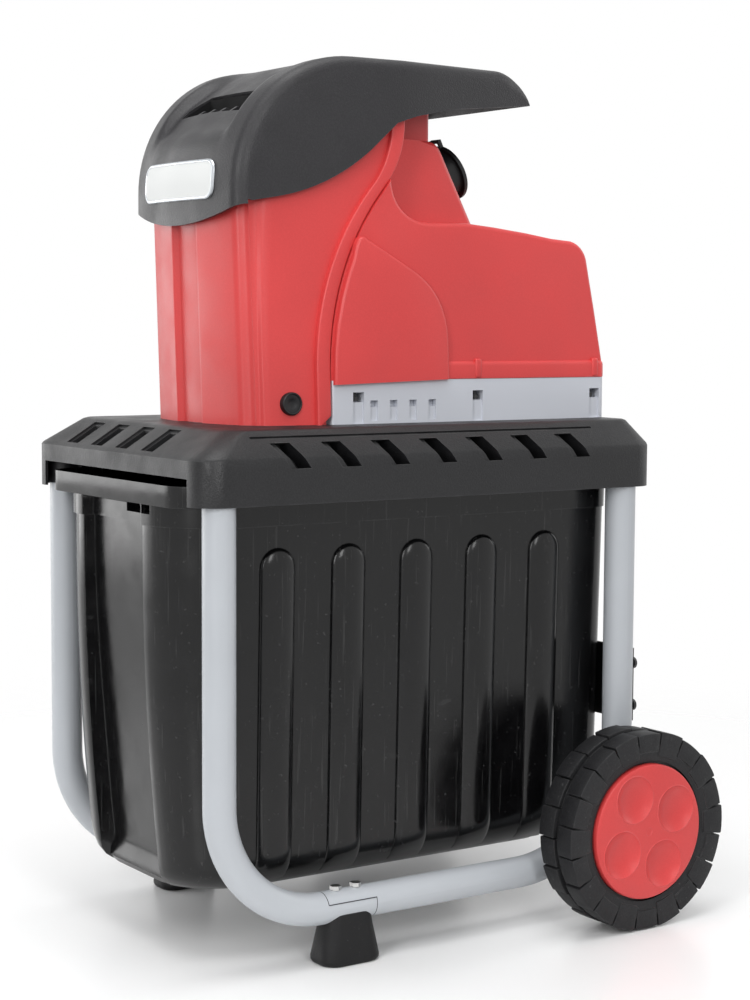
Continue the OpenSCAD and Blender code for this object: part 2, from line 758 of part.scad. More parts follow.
// Where the hopper ends inside the hood
hood_lap = concat([[-300, 226]], [for (p = hood_edge) [p[0], p[1] + 14]],
  [[220, 334], [220, 500], [-300, 500]]);
chin_r = 300;
module hood() {
  color(dark_grey) on_deck() {
    difference() {
      hood_form(0);
      trough(0);
      difference() {
        hood_form(hood_wall);
        trough(hood_wall);
      }
      hood_trim();
      translate([-feed_w / 2, feed_y0, 200]) cube([feed_w, feed_len, 300]);
    }
    hood_screw_places() translate([0, 0, neck_top]) difference() {
      cylinder(h = hood_h - neck_top - 1, d = 12);
      translate([0, 0, -1]) cylinder(h = 12, d = hood_screw_d);
    }
  }
}
// Everything below the hood's lower edge and its rounded chin
module hood_trim() {
  difference() {
    translate([-200, -400, 0]) cube([400, 800, 500]);
    across(hood_area, -201, 201);
  }
  difference() {
    translate([-200, hood_front_y - 10, 100]) cube([400, 60, 111]);
    translate([0, 0, 189 + chin_r]) bar_y(hood_front_y - 20, hood_front_y + 70, chin_r);
  }
}
hood_screw_xs = [-45, 45];
hood_screw_ys = [-6, 28];
hood_screw_d = 4;
module hood_screw_places() {
  for (x = hood_screw_xs, y = hood_screw_ys) translate([x, y, 0]) children();
}
module hood_screws() {
  color(steel) on_deck() hood_screw_places() {
    translate([0, 0, neck_top - shell - 3]) cylinder(h = 3, d = 2 * hood_screw_d);
    translate([0, 0, neck_top - shell]) cylinder(h = shell + 9, d = hood_screw_d - eps);
  }
}
badge_w = 134;
badge_h = 38;
badge_z = 231;
module badge_plate() {
  color("white") on_deck() intersection() {
    difference() {
      hood_form(-1.5);
      hood_form(0);
    }
    translate([0, hood_front_y + 20, badge_z]) rotate([90, 0, 0]) linear_extrude(60) hull()
      for (x = [-1, 1], z = [-1, 1]) translate([x * (badge_w / 2 - 10), z * (badge_h / 2 - 10)]) circle(10);
  }
}

// Chute from the feed opening down to the cutter
module feed_chute() {
  half = feed_w / 2;
  color(black) on_deck() intersection() {
    difference() {
      translate([-half - shell, feed_y0 - shell, frame_top])
        cube([2 * (half + shell), feed_len + 2 * shell, 400]);
      translate([-half, feed_y0, 0]) cube([feed_w, feed_len, 600]);
    }
    difference() {
      hood_form(hood_wall);
      trough(hood_wall);
    }
  }
}

// Cutter
frame_top = roller_z + roller_d / 2 + 10;
frame_half = 62;
counter_x = roller_d / 2 + 1.5;
module cutter_frame() {
  color(cast) on_deck() difference() {
    union() {
      translate([-frame_half, frame_y0, 0]) cube([2 * frame_half, plate_t, frame_top]);
      for (x = [-frame_half, frame_half - plate_t])
        translate([x, frame_y0 + plate_t, 0]) cube([plate_t, gearbox_y0 - frame_y0 - plate_t, frame_top]);
      translate([0, roller_y, adjuster_z]) bar_x(frame_half - eps, frame_half + 14, adjuster_r + 6);
    }
    translate([0, 0, roller_z]) bar_y(frame_y0 - 1, frame_y0 + plate_t + 1, roller_shaft_r + bush_t);
    translate([0, roller_y, adjuster_z]) bar_x(frame_half - 20, frame_half + 20, adjuster_r + run_fit);
  }
}
module cutter_roller() {
  tip = roller_d / 2;
  step = 360 / roller_teeth;
  outline = [for (i = [0:roller_teeth - 1], p = [[tip, 0], [tip, 7], [tip - 11, 14], [tip - 13, step - 6]])
    [p[0] * cos(i * step + p[1]), p[0] * sin(i * step + p[1])]];
  color(steel) on_deck() translate([0, roller_y + roller_len / 2, roller_z]) rotate([90, 0, 0])
    difference() {
      linear_extrude(roller_len) polygon(outline);
      translate([0, 0, -1]) cylinder(h = roller_len + 2, r = roller_shaft_r);
    }
}
module roller_shaft() {
  color(steel) on_deck() translate([0, 0, roller_z]) bar_y(frame_y0 + 1, out_gear_y + gear_w, roller_shaft_r);
}
module counter_plate() {
  color(cast) on_deck() translate([0, roller_y, 0]) difference() {
    union() {
      translate([counter_x, -roller_len / 2, 8]) cube([8, roller_len, roller_d - 8]);
      translate([0, 0, adjuster_z]) bar_x(counter_x + 7, counter_x + 11, adjuster_r + 5);
    }
    translate([0, 0, adjuster_z]) bar_x(counter_x + 2, counter_x + 20, adjuster_r + run_fit);
  }
}
module adjuster_screw() {
  color(black) on_deck() translate([0, roller_y, adjuster_z]) {
    bar_x(counter_x + 8, plug_x, adjuster_r);
    bar_x(plug_x - 14, plug_x + 3, plug_r);
  }
}

// Gears: involute teeth with stub height
press_angle = 25;
tooth_add = 0.8;
tooth_ded = 1.1;
tooth_play = 0.16;
function inv(a) = tan(a) * 180 / PI - a;
function gear_half(n, r) = let (rp = gear_module * n / 2, rb = rp * cos(press_angle))
  90 / n - tooth_play / rp * 90 / PI + inv(press_angle) - (r > rb ? inv(acos(rb / r)) : 0);
function gear_points(n) = let (
    rp = gear_module * n / 2,
    rs = [for (k = [-tooth_ded, -0.3, 0.3, tooth_add]) rp + k * gear_module],
    up = [for (r = rs) [r, -gear_half(n, r)]],
    down = [for (i = [3:-1:0]) [rs[i], gear_half(n, rs[i])]])
  [for (k = [0:n - 1], p = concat(up, down)) let (a = k * 360 / n + p[1]) [p[0] * cos(a), p[0] * sin(a)]];
// Gear drawn along Y from y, turned about its axis by spin
module gear(n, y, w, spin) {
  translate([0, y + w, 0]) rotate([90, 0, 0]) rotate([0, 0, spin]) linear_extrude(w) polygon(gear_points(n));
}
// Direction from one shaft to the next, seen from the front with X to the right
out_angle = atan2(lay_z - roller_z, lay_x);
in_angle = atan2(motor_z - lay_z, -lay_x);
half_tooth = 180 / pinion_teeth;
lay_spin = in_angle;
pinion_spin = out_angle + 180 + half_tooth;
motor_spin = in_angle + 180 + half_tooth;
module output_gear() {
  color(steel) on_deck() translate([0, 0, roller_z]) difference() {
    gear(wheel_teeth, out_gear_y, gear_w, out_angle);
    bar_y(out_gear_y - 1, out_gear_y + gear_w + 1, roller_shaft_r);
  }
}
module layshaft() {
  color(steel) on_deck() translate([lay_x, 0, lay_z]) {
    bar_y(gearbox_y0 + 1, out_gear_y + eps, shaft_r - 1);
    gear(pinion_teeth, out_gear_y, gear_w + 2, pinion_spin);
    bar_y(out_gear_y + gear_w + 2 - eps, gearbox_y1 + cover_t - 1, shaft_r - 1);
  }
}
module layshaft_gear() {
  color(steel) on_deck() translate([lay_x, 0, lay_z]) difference() {
    gear(wheel_teeth, lay_gear_y, gear_w, lay_spin);
    bar_y(lay_gear_y - 1, lay_gear_y + gear_w + 1, shaft_r - 1);
  }
}
gearbox_half = 66;
gearbox_top = motor_z + 22;
bores = [[0, roller_z, roller_shaft_r], [lay_x, lay_z, shaft_r - 1]];
module gearbox_housing() {
  color(cast) on_deck() difference() {
    translate([-gearbox_half, gearbox_y0, 0]) cube([2 * gearbox_half, gearbox_y1 - gearbox_y0, gearbox_top]);
    translate([-gearbox_half + box_wall_t, gearbox_y0 + 10, box_wall_t - 2])
      cube([2 * (gearbox_half - box_wall_t), 200, gearbox_top - 2 * box_wall_t + 2]);
    for (b = bores) translate([b[0], 0, b[1]]) bar_y(gearbox_y0 - 1, gearbox_y0 + 11, b[2] + bush_t);
  }
}
module gearbox_cover() {
  y1 = gearbox_y1 + cover_t;
  color(cast) on_deck() difference() {
    union() {
      translate([-gearbox_half, gearbox_y1, 0]) cube([2 * gearbox_half, cover_t, gearbox_top]);
      translate([0, 0, motor_z]) difference() {
        bar_y(gearbox_y1, stator_y0, stator_d / 2 + 1);
        bar_y(gearbox_y1 - 1, stator_y0 + 1, stator_d / 2 - 6);
      }
    }
    translate([lay_x, 0, lay_z]) bar_y(gearbox_y1 - 1, y1 + 1, shaft_r - 1 + bush_t);
    translate([0, 0, motor_z]) bar_y(gearbox_y1 - 1, y1 + 1, shaft_r + bush_t);
    motor_bolt_places() bar_y(gearbox_y1 - 1, stator_y0 + 1, 2 + loose);
  }
}
bolt_circle = stator_d / 2 - 3;
module motor_bolt_places() {
  for (i = [0:3]) translate([0, 0, motor_z]) rotate([0, 45 + 90 * i, 0])
    translate([bolt_circle, 0, 0]) children();
}

// Motor
module motor_shaft() {
  color(steel) on_deck() translate([0, 0, motor_z]) {
    gear(pinion_teeth, lay_gear_y - 1, gear_w + 2, motor_spin);
    bar_y(lay_gear_y + gear_w + 1 - eps, gearbox_y1 + cover_t + 2, shaft_r);
    bar_y(gearbox_y1 + cover_t + 2 - eps, stator_y1 + shield_len + 24, shaft_r);
  }
}
rotor_r = stator_d / 2 - 25;
module rotor_core() {
  color(steel) on_deck() translate([0, 0, motor_z]) difference() {
    bar_y(stator_y0, stator_y1, rotor_r);
    bar_y(stator_y0 - 1, stator_y1 + 1, shaft_r);
  }
}
module stator() {
  color(steel) on_deck() difference() {
    translate([0, 0, motor_z]) difference() {
      bar_y(stator_y0, stator_y1, stator_d / 2);
      bar_y(stator_y0 - 1, stator_y1 + 1, rotor_r + 0.5);
    }
    motor_bolt_places() bar_y(stator_y0 - 1, stator_y1 + 1, 2 + loose);
  }
}
module windings() {
  color(copper) on_deck() translate([0, 0, motor_z]) for (y = [stator_y0 - 22, stator_y1]) difference() {
    bar_y(y, y + 22, stator_d / 2 - 7);
    bar_y(y - 1, y + 23, rotor_r + 2);
  }
}
module end_shield() {
  y1 = stator_y1 + shield_len;
  foot_half = 30;
  color(cast) on_deck() difference() {
    union() {
      translate([0, 0, motor_z]) difference() {
        bar_y(stator_y1, y1, stator_d / 2 + 1);
        bar_y(stator_y1 - 1, y1 - 8, stator_d / 2 - 6);
      }
      difference() {
        translate([-foot_half, stator_y1 + 6, base_floor]) cube([2 * foot_half, 24, motor_z - base_floor]);
        translate([0, 0, motor_z]) bar_y(stator_y1, y1 + 1, stator_d / 2);
      }
    }
    translate([0, 0, motor_z]) bar_y(y1 - 9, y1 + 1, shaft_r + bush_t);
    motor_bolt_places() bar_y(stator_y1 - 1, y1 + 1, 2 + loose);
  }
}
module motor_bolts() {
  color(steel) on_deck() motor_bolt_places() {
    bar_y(gearbox_y1 + 1, stator_y1 + shield_len + eps, 2);
    bar_y(stator_y1 + shield_len, stator_y1 + shield_len + 3, 4);
  }
}
module bush(x, z, y, len, r) {
  translate([x, 0, z]) difference() {
    bar_y(y, y + len, r + bush_t);
    bar_y(y - 1, y + len + 1, r + run_fit);
  }
}
module shaft_bushes() {
  color(copper) on_deck() {
    bush(0, roller_z, frame_y0, plate_t, roller_shaft_r);
    bush(0, roller_z, gearbox_y0, 10, roller_shaft_r);
    bush(lay_x, lay_z, gearbox_y0, 10, shaft_r - 1);
    bush(lay_x, lay_z, gearbox_y1, cover_t, shaft_r - 1);
    bush(0, motor_z, gearbox_y1, cover_t, shaft_r);
    bush(0, motor_z, stator_y1 + shield_len - 8, 8, shaft_r);
  }
}
module cooling_fan() {
  y = stator_y1 + shield_len + 6;
  color(black) on_deck() translate([0, 0, motor_z]) difference() {
    union() {
      bar_y(y, y + 16, 14);
      bar_y(y, y + 3, stator_d / 2 - 8);
      for (i = [0:8]) rotate([0, 40 * i, 0]) translate([12, y + 2, -1]) cube([stator_d / 2 - 21, 14, 2]);
    }
    bar_y(y - 1, y + 17, shaft_r);
  }
}
module capacitor() {
  color(pale_grey) on_deck() translate([74, 0, base_floor]) {
    translate([0, 0, 18]) bar_y(stator_y1 + 10, stator_y1 + 78, 17);
    translate([-14, stator_y1 + 20, 0]) cube([28, 48, 8]);
  }
}

// Rear face of the neck: children drawn with Z out of the face and Y down along it
neck_mid_z = (neck_z0 + neck_z1) / 2;
neck_mid_y = neck_y - (neck_mid_z - neck_z0) * tan(neck_tilt);
module on_neck(x, s) {
  translate([x, neck_mid_y, neck_mid_z]) rotate([neck_tilt - 90, 0, 0]) translate([0, s, 0]) children();
}
inlet_x = 32;
inlet_r = 29;
inlet_len = 27;
module inlet_collar() {
  color(black) on_deck() on_neck(inlet_x, 0) difference() {
    union() {
      cylinder(h = inlet_len, r = inlet_r - 4);
      cylinder(h = 4, r = inlet_r);
      translate([0, 0, inlet_len - 4]) cylinder(h = 4, r = inlet_r);
      translate([-8, -inlet_r - 7, inlet_len - 4]) cube([16, 12, 4]);
    }
    translate([0, 0, 8]) cylinder(h = inlet_len, r = inlet_r - 8);
    translate([-5, -inlet_r - 4, inlet_len - 5]) cube([10, 4, 6]);
    inlet_pin_places() translate([0, 0, -1]) cylinder(h = 10, r = 2.5);
  }
}
module inlet_pin_places() {
  for (i = [0:2]) rotate([0, 0, 90 + 120 * i]) translate([9, 0, 0]) children();
}
module inlet_pins() {
  color(steel) on_deck() on_neck(inlet_x, 0) inlet_pin_places() cylinder(h = 22, r = 2.5 - eps);
}

// Switch panel with its push buttons and the direction knob
panel_x = -36;
panel_w = 56;
panel_h = 74;
button_r = 9;
button_x = -10;
button_ys = [-22, 2];
reset_x = 16;
reset_r = 5;
module switch_panel() {
  color(black) on_deck() on_neck(panel_x, 0) difference() {
    union() {
      translate([-panel_w / 2, -panel_h / 2, 0]) cube([panel_w, panel_h, 4]);
      translate([-panel_w / 2 + 6, -panel_h / 2 + 6, -14]) cube([panel_w - 12, panel_h - 12, 15]);
    }
    for (y = button_ys) translate([button_x, y, -8]) cylinder(h = 20, r = button_r + slide_gap);
    translate([reset_x, button_ys[1], -8]) cylinder(h = 20, r = reset_r + slide_gap);
    translate([0, 24, -8]) cylinder(h = 20, r = 4 + run_fit);
  }
}
module push_button(x, y, r) {
  translate([x, y, -4]) cylinder(h = 12, r = r);
}
module start_button() {
  color([0.1, 0.5, 0.2]) on_deck() on_neck(panel_x, 0) push_button(button_x, button_ys[0], button_r);
}
module stop_button() {
  color([0.75, 0.1, 0.1]) on_deck() on_neck(panel_x, 0) push_button(button_x, button_ys[1], button_r);
}
module reset_button() {
  color(dark_grey) on_deck() on_neck(panel_x, 0) push_button(reset_x, button_ys[1], reset_r);
}
module direction_knob() {
  color(dark_grey) on_deck() on_neck(panel_x, 0) translate([0, 24, 0]) {
    translate([0, 0, -7]) cylinder(h = 12, r = 4);
    translate([0, 0, 4 + slide_gap]) cylinder(h = 4, r = 9);
    translate([-2, -9, 4 + slide_gap]) cube([4, 18, 11]);
  }
}

// Safety switch that the box holds closed
safety_x = box_flange_half - 4.5;
safety_y = -150;
safety_h = 34;
plunger_r = 3;
module safety_switch() {
  color(black) centred() translate([safety_x, safety_y, 0]) difference() {
    translate([-6, -12, deck_top - deck_wall - safety_h]) cube([12, 24, safety_h]);
    translate([0, 0, deck_top - deck_wall - safety_h - 1]) cylinder(h = 24, r = plunger_r + run_fit);
  }
}
module safety_plunger() {
  color(pale_grey) centred() translate([safety_x, safety_y, box_top + slide_gap])
    cylinder(h = deck_top - deck_wall - safety_h - box_top + 10, r = plunger_r);
}

left_front_tube();
right_front_tube();
left_rear_tube();
right_rear_tube();
left_foot();
right_foot();
foot_bolts();
rear_brace();
brace_screws();
axle();
axle_spacers();
axle_clips();
left_tyre();
left_wheel_core();
left_hub_cap();
right_tyre();
right_wheel_core();
right_hub_cap();
deck();
deck_screws();
box_rails();
collection_box();
motor_base();
motor_cover();
case_screws();
hopper_shell();
hood();
hood_screws();
badge_plate();
feed_chute();
cutter_frame();
cutter_roller();
roller_shaft();
counter_plate();
adjuster_screw();
gearbox_housing();
gearbox_cover();
output_gear();
layshaft();
layshaft_gear();
motor_shaft();
rotor_core();
stator();
windings();
end_shield();
cooling_fan();
motor_bolts();
shaft_bushes();
capacitor();
inlet_collar();
inlet_pins();
switch_panel();
start_button();
stop_button();
reset_button();
direction_knob();
safety_switch();
safety_plunger();
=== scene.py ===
import math

import bmesh
import bpy
from mathutils import Matrix, Vector


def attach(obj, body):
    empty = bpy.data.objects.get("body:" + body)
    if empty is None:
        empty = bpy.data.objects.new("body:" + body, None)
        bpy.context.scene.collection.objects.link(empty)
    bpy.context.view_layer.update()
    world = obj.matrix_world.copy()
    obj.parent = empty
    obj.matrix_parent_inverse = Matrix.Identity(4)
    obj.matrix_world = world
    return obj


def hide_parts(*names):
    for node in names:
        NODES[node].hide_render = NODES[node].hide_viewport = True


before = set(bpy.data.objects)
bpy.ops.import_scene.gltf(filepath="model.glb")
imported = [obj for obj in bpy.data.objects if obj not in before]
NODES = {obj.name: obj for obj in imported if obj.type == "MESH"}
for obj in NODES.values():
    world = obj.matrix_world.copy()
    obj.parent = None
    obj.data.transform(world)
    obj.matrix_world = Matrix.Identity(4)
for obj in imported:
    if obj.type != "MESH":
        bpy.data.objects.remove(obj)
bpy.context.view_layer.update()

scene = bpy.context.scene

# A millimetre in metres
MM = 0.001

# Sizes of the machine in millimetres, drawn from the middle of the legs
Y_MID = 21.5
DECK_TOP = 507.0
AXLE_Y, AXLE_Z = 206.5, 100.0
WHEEL_X0, WHEEL_X1 = 193.0, 243.0
RIGHT_AND_LEFT = (1, -1)

# An angle above any fold, in radians, for an edge that has only one face
OPEN_EDGE = 3.2


# Colours
def tone(r, g, b):
    """A colour given by its screen values, in linear light"""
    def linear(c):
        c /= 255
        return c / 12.92 if c <= 0.04045 else ((c + 0.055) / 1.055) ** 2.4
    return (linear(r), linear(g), linear(b), 1.0)


# Finishes: sizes of their patterns by scale, and depth of grain and width of the lighter edges in metres;
# these edges are a painted highlight with a little wear
COAT_ROUGHNESS, GRAIN_DEPTH, EDGE_WEAR_AND_HIGHLIGHT_WIDTH = 0.12, 0.0006, 0.0016
DUST_SCALE, FLECK_SCALE, EDGE_BREAK_SCALE = 260, 620, 45
RUB_DOWN, RUB_ALONG = (330, 330, 11), (90, 26, 70)
SCUFF_SCALE, SCUFF_DISTORTION, SCUFF_DETAIL = 60, 14, 4


def finish(name, colour, rough, grain=0.0, grain_size=900, patch=0.06, patch_size=7, rough_play=0.08,
           scuff=0.0, dust=0.0, metallic=0.0, coat=0.0, specular=0.5, speckle=0.0, rubbed=0.0, edge_wear_and_highlight=0.0):
    """A moulded, painted or metal surface with uneven colour and gloss, and grain, scuffs, dust, flecks,
    rubbed streaks or edges painted lighter, as a painted highlight with a little wear, where they are asked
    for"""
    mat = bpy.data.materials.new(name)
    mat.use_nodes = True
    tree = mat.node_tree
    shader = tree.nodes["Principled BSDF"]
    shader.inputs["Metallic"].default_value = metallic
    shader.inputs["Specular IOR Level"].default_value = specular
    shader.inputs["Coat Weight"].default_value = coat
    shader.inputs["Coat Roughness"].default_value = COAT_ROUGHNESS
    place = tree.nodes.new("ShaderNodeTexCoord").outputs["Object"]

    def noise(size, detail=3.0, stretch=None):
        node = tree.nodes.new("ShaderNodeTexNoise")
        node.inputs["Scale"].default_value = size
        node.inputs["Detail"].default_value = detail
        start = place
        if stretch:
            drawn = tree.nodes.new("ShaderNodeMapping")
            drawn.inputs["Scale"].default_value = stretch
            tree.links.new(place, drawn.inputs["Vector"])
            start = drawn.outputs["Vector"]
        tree.links.new(start, node.inputs["Vector"])
        return node.outputs["Fac"]

    def ranged(value, low, high, to_low, to_high):
        node = tree.nodes.new("ShaderNodeMapRange")
        node.inputs["From Min"].default_value = low
        node.inputs["From Max"].default_value = high
        node.inputs["To Min"].default_value = to_low
        node.inputs["To Max"].default_value = to_high
        tree.links.new(value, node.inputs["Value"])
        return node.outputs["Result"]

    def mixed(factor, first, second):
        node = tree.nodes.new("ShaderNodeMix")
        node.data_type = "RGBA"
        tree.links.new(factor, node.inputs["Factor"])
        for socket, value in ((node.inputs["A"], first), (node.inputs["B"], second)):
            if isinstance(value, tuple):
                socket.default_value = value
            else:
                tree.links.new(value, socket)
        return node.outputs["Result"]

    shade = tuple(c * (1 - patch) for c in colour[:3]) + (1.0,)
    light = tuple(min(1.0, c * (1 + patch)) for c in colour[:3]) + (1.0,)
    surface = mixed(ranged(noise(patch_size), 0.35, 0.65, 0, 1), shade, light)
    pale = tuple(c + (0.5 - c) * 0.5 for c in colour[:3]) + (1.0,)
    if dust:
        surface = mixed(ranged(noise(DUST_SCALE, 1.0), 0.70, 0.80, 0, dust), surface, pale)
    if speckle:
        fleck = tuple(c * 1.5 + 0.02 for c in colour[:3]) + (1.0,)
        surface = mixed(ranged(noise(FLECK_SCALE, 2.0), 0.40, 0.75, 0, speckle), surface, fleck)
    if rubbed:
        surface = mixed(ranged(noise(1, 2.0, RUB_DOWN), 0.62, 0.74, 0, rubbed), surface, pale)
        surface = mixed(ranged(noise(1, 2.0, RUB_ALONG), 0.70, 0.78, 0, rubbed * 0.7), surface, pale)
    # Edges painted lighter: a painted highlight along convex and hollow edges, with a little wear
    if edge_wear_and_highlight:
        rounded = tree.nodes.new("ShaderNodeBevel")
        rounded.samples = 4
        rounded.inputs["Radius"].default_value = EDGE_WEAR_AND_HIGHLIGHT_WIDTH
        turned = tree.nodes.new("ShaderNodeVectorMath")
        turned.operation = "DOT_PRODUCT"
        tree.links.new(rounded.outputs["Normal"], turned.inputs[0])
        tree.links.new(tree.nodes.new("ShaderNodeNewGeometry").outputs["Normal"], turned.inputs[1])
        edge = ranged(turned.outputs["Value"], 0.97, 0.82, 0, edge_wear_and_highlight)
        broken = tree.nodes.new("ShaderNodeMath")
        broken.operation = "MULTIPLY"
        tree.links.new(edge, broken.inputs[0])
        tree.links.new(ranged(noise(EDGE_BREAK_SCALE), 0.35, 0.6, 0, 1), broken.inputs[1])
        surface = mixed(broken.outputs[0], surface, pale)
    tree.links.new(surface, shader.inputs["Base Color"])
    gloss = ranged(noise(patch_size * 4), 0.3, 0.7, rough - rough_play, rough + rough_play)
    tree.links.new(gloss, shader.inputs["Roughness"])
    if grain or scuff:
        height = noise(grain_size, 2.0)
        if scuff:
            lines = tree.nodes.new("ShaderNodeTexWave")
            lines.inputs["Scale"].default_value = SCUFF_SCALE
            lines.inputs["Distortion"].default_value = SCUFF_DISTORTION
            lines.inputs["Detail"].default_value = SCUFF_DETAIL
            tree.links.new(place, lines.inputs["Vector"])
            added = tree.nodes.new("ShaderNodeMath")
            added.operation = "MULTIPLY_ADD"
            added.inputs[1].default_value = scuff
            tree.links.new(lines.outputs["Fac"], added.inputs[0])
            tree.links.new(height, added.inputs[2])
            height = added.outputs[0]
        bump = tree.nodes.new("ShaderNodeBump")
        bump.inputs["Strength"].default_value = grain
        bump.inputs["Distance"].default_value = GRAIN_DEPTH
        tree.links.new(height, bump.inputs["Height"])
        tree.links.new(bump.outputs["Normal"], shader.inputs["Normal"])
    return mat


# The edge amounts below paint a lighter highlight along the edges, with a little wear
RED = finish("red_moulded_plastic", tone(206, 62, 62), 0.42, 0.16, 900, 0.06, speckle=0.10, edge_wear_and_highlight=0.25)
HOOD_GREY = finish("hood_grained_plastic", tone(27, 26, 29), 0.44, 0.55, 700, 0.10, specular=0.40,
                   speckle=0.35, edge_wear_and_highlight=0.14)
DECK_BLACK = finish("deck_grained_plastic", tone(21, 21, 23), 0.45, 0.55, 650, 0.12, specular=0.36,
                    speckle=0.35, edge_wear_and_highlight=0.14)
BOX_BLACK = finish("box_glossy_plastic", tone(10, 10, 11), 0.20, 0.06, 500, 0.2, patch_size=9,
                   rough_play=0.07, dust=0.12, specular=0.36, rubbed=0.07, edge_wear_and_highlight=0.15)
THROAT_BLACK = finish("throat_dull_plastic", tone(9, 9, 10), 0.7, 0.2, 700, 0.1, specular=0.08)
TUBE_GREY = finish("tube_satin_paint", tone(182, 186, 191), 0.36, 0.05, 1600, 0.03, coat=0.10)
BASE_GREY = finish("base_pale_plastic", tone(203, 206, 214), 0.45, 0.08, 1400, 0.03)
TYRE_BLACK = finish("tyre_rubber", tone(25, 25, 27), 0.56, 0.40, 600, 0.14, dust=0.14, specular=0.30,
                    speckle=0.35, edge_wear_and_highlight=0.18)
FOOT_BLACK = finish("foot_rubber", tone(20, 20, 21), 0.55, 0.30, 700, 0.12, dust=0.10, specular=0.25,
                    edge_wear_and_highlight=0.15)
PART_BLACK = finish("black_satin_plastic", tone(20, 20, 22), 0.45, 0.12, 1200, 0.10, specular=0.35)
BRACE_BLACK = finish("brace_black_paint", tone(32, 32, 34), 0.40, 0.06, 1200, 0.08)
WHEEL_BLACK = finish("wheel_core_plastic", tone(40, 40, 42), 0.5, 0.15, 1000, 0.08)
BADGE_WHITE = finish("badge_smooth_white", tone(222, 224, 223), 0.50, 0.03, 1500, 0.02, specular=0.25)
BADGE_EDGE = finish("badge_silver_edge", tone(186, 190, 194), 0.28, 0.04, 1500, 0.05, metallic=0.8)
STEEL = finish("zinc_plated_steel", tone(190, 190, 188), 0.30, 0.10, 700, 0.08, metallic=1.0)
# Steel of the screws deep in the base's pockets, darkened as painted shade of the pockets
POCKET_SHADE_STEEL = finish("steel_darkened_as_pocket_shade", tone(58, 58, 60), 0.50, 0.15, 700, 0.10, metallic=0.5, specular=0.3)
TOOL_STEEL = finish("ground_tool_steel", tone(150, 152, 155), 0.34, 0.15, 500, 0.10, metallic=1.0, scuff=0.4)
CAST = finish("cast_alloy", tone(170, 171, 174), 0.50, 0.35, 500, 0.08, metallic=0.9)
BRONZE = finish("sintered_bronze", tone(186, 132, 84), 0.42, 0.25, 700, 0.10, metallic=1.0)
COPPER = finish("lacquered_copper_wire", tone(176, 98, 58), 0.35, 0.6, 160, 0.15, metallic=0.7, scuff=1.2)
GREEN = finish("start_button_green", tone(40, 128, 66), 0.35, 0.06, 1200, 0.05)
STOP_RED = finish("stop_button_red", tone(190, 36, 34), 0.35, 0.06, 1200, 0.05)

# Finish of every solid, also of those that a finished piece replaces
CAD_FINISH = {
    TUBE_GREY: "left_front_tube right_front_tube left_rear_tube right_rear_tube",
    FOOT_BLACK: "left_foot right_foot",
    # Screws in the base's pockets: dark as painted shade
    POCKET_SHADE_STEEL: "case_screws",
    STEEL: "foot_bolts axle axle_clips deck_screws hood_screws motor_bolts"
           " inlet_pins stator rotor_core motor_shaft",
    TOOL_STEEL: "cutter_roller roller_shaft output_gear layshaft layshaft_gear",
    BRACE_BLACK: "rear_brace brace_screws",
    TYRE_BLACK: "left_tyre right_tyre",
    WHEEL_BLACK: "left_wheel_core right_wheel_core axle_spacers",
    RED: "left_hub_cap right_hub_cap motor_cover hopper_shell",
    DECK_BLACK: "deck",
    BOX_BLACK: "collection_box",
    PART_BLACK: "box_rails feed_chute cooling_fan adjuster_screw inlet_collar switch_panel reset_button"
                " direction_knob safety_switch safety_plunger",
    BASE_GREY: "motor_base capacitor",
    HOOD_GREY: "hood",
    BADGE_WHITE: "badge_plate",
    CAST: "cutter_frame counter_plate gearbox_housing gearbox_cover end_shield",
    BRONZE: "shaft_bushes",
    COPPER: "windings",
    GREEN: "start_button",
    STOP_RED: "stop_button",
}
for surface, names in CAD_FINISH.items():
    for node_name in names.split():
        mesh = NODES[node_name].data
        mesh.materials.clear()
        mesh.materials.append(surface)


# Shaping
def arc(cx, cy, r, a0, a1, n):
    """Points on an arc from one angle to another, in degrees"""
    steps = [math.radians(a0 + (a1 - a0) * i / n) for i in range(n + 1)]
    return [(cx + r * math.cos(a), cy + r * math.sin(a)) for a in steps]


def curve(p0, p1, p2, n):
    """Points on a quadratic curve"""
    points = []
    for k in range(n + 1):
        t = k / n
        first, second, third = (1 - t) ** 2, 2 * t * (1 - t), t * t
        points.append(tuple(first * a + second * b + third * c for a, b, c in zip(p0, p1, p2)))
    return points


def ring(x, cy, cz, r, n):
    """Points on a circle around a line along X"""
    angles = [2 * math.pi * k / n for k in range(n)]
    return [(x, cy + r * math.cos(a), cz + r * math.sin(a)) for a in angles]


def rounded_plan(half, y0, y1, front_r, rear_r, n=7):
    """A rectangle seen from above, with its own radius at the front and the rear corners"""
    points = arc(half - rear_r, y1 - rear_r, rear_r, 0, 90, n)
    points += arc(-half + rear_r, y1 - rear_r, rear_r, 90, 180, n)
    points += arc(-half + front_r, y0 + front_r, front_r, 180, 270, n)
    points += arc(half - front_r, y0 + front_r, front_r, 270, 360, n)
    return points


def at_height(plan, z):
    return [(x, y, z) for x, y in plan]


def lerp(a, b, t):
    return a + (b - a) * t


def smooth(low, high, value):
    t = min(1.0, max(0.0, (value - low) / (high - low)))
    return t * t * (3 - 2 * t)


def within(value, span):
    return span[0] < value < span[1]


def plane_x(x):
    return (x, 0, 0), (1, 0, 0)


def plane_y(y):
    return (0, y, 0), (0, 1, 0)


def plane_z(z):
    return (0, 0, z), (0, 0, 1)


def edges_where(bm, test):
    return [e for e in bm.edges if test(e)]


def faces_where(bm, test):
    """Faces picked by their middle and their normal"""
    return [f for f in bm.faces if test(f.calc_center_median(), f.normal)]


def on_one_side(edge):
    """Tells whether an edge lies wholly on the right or wholly on the left of the machine"""
    return edge.verts[0].co.x * edge.verts[1].co.x > 0


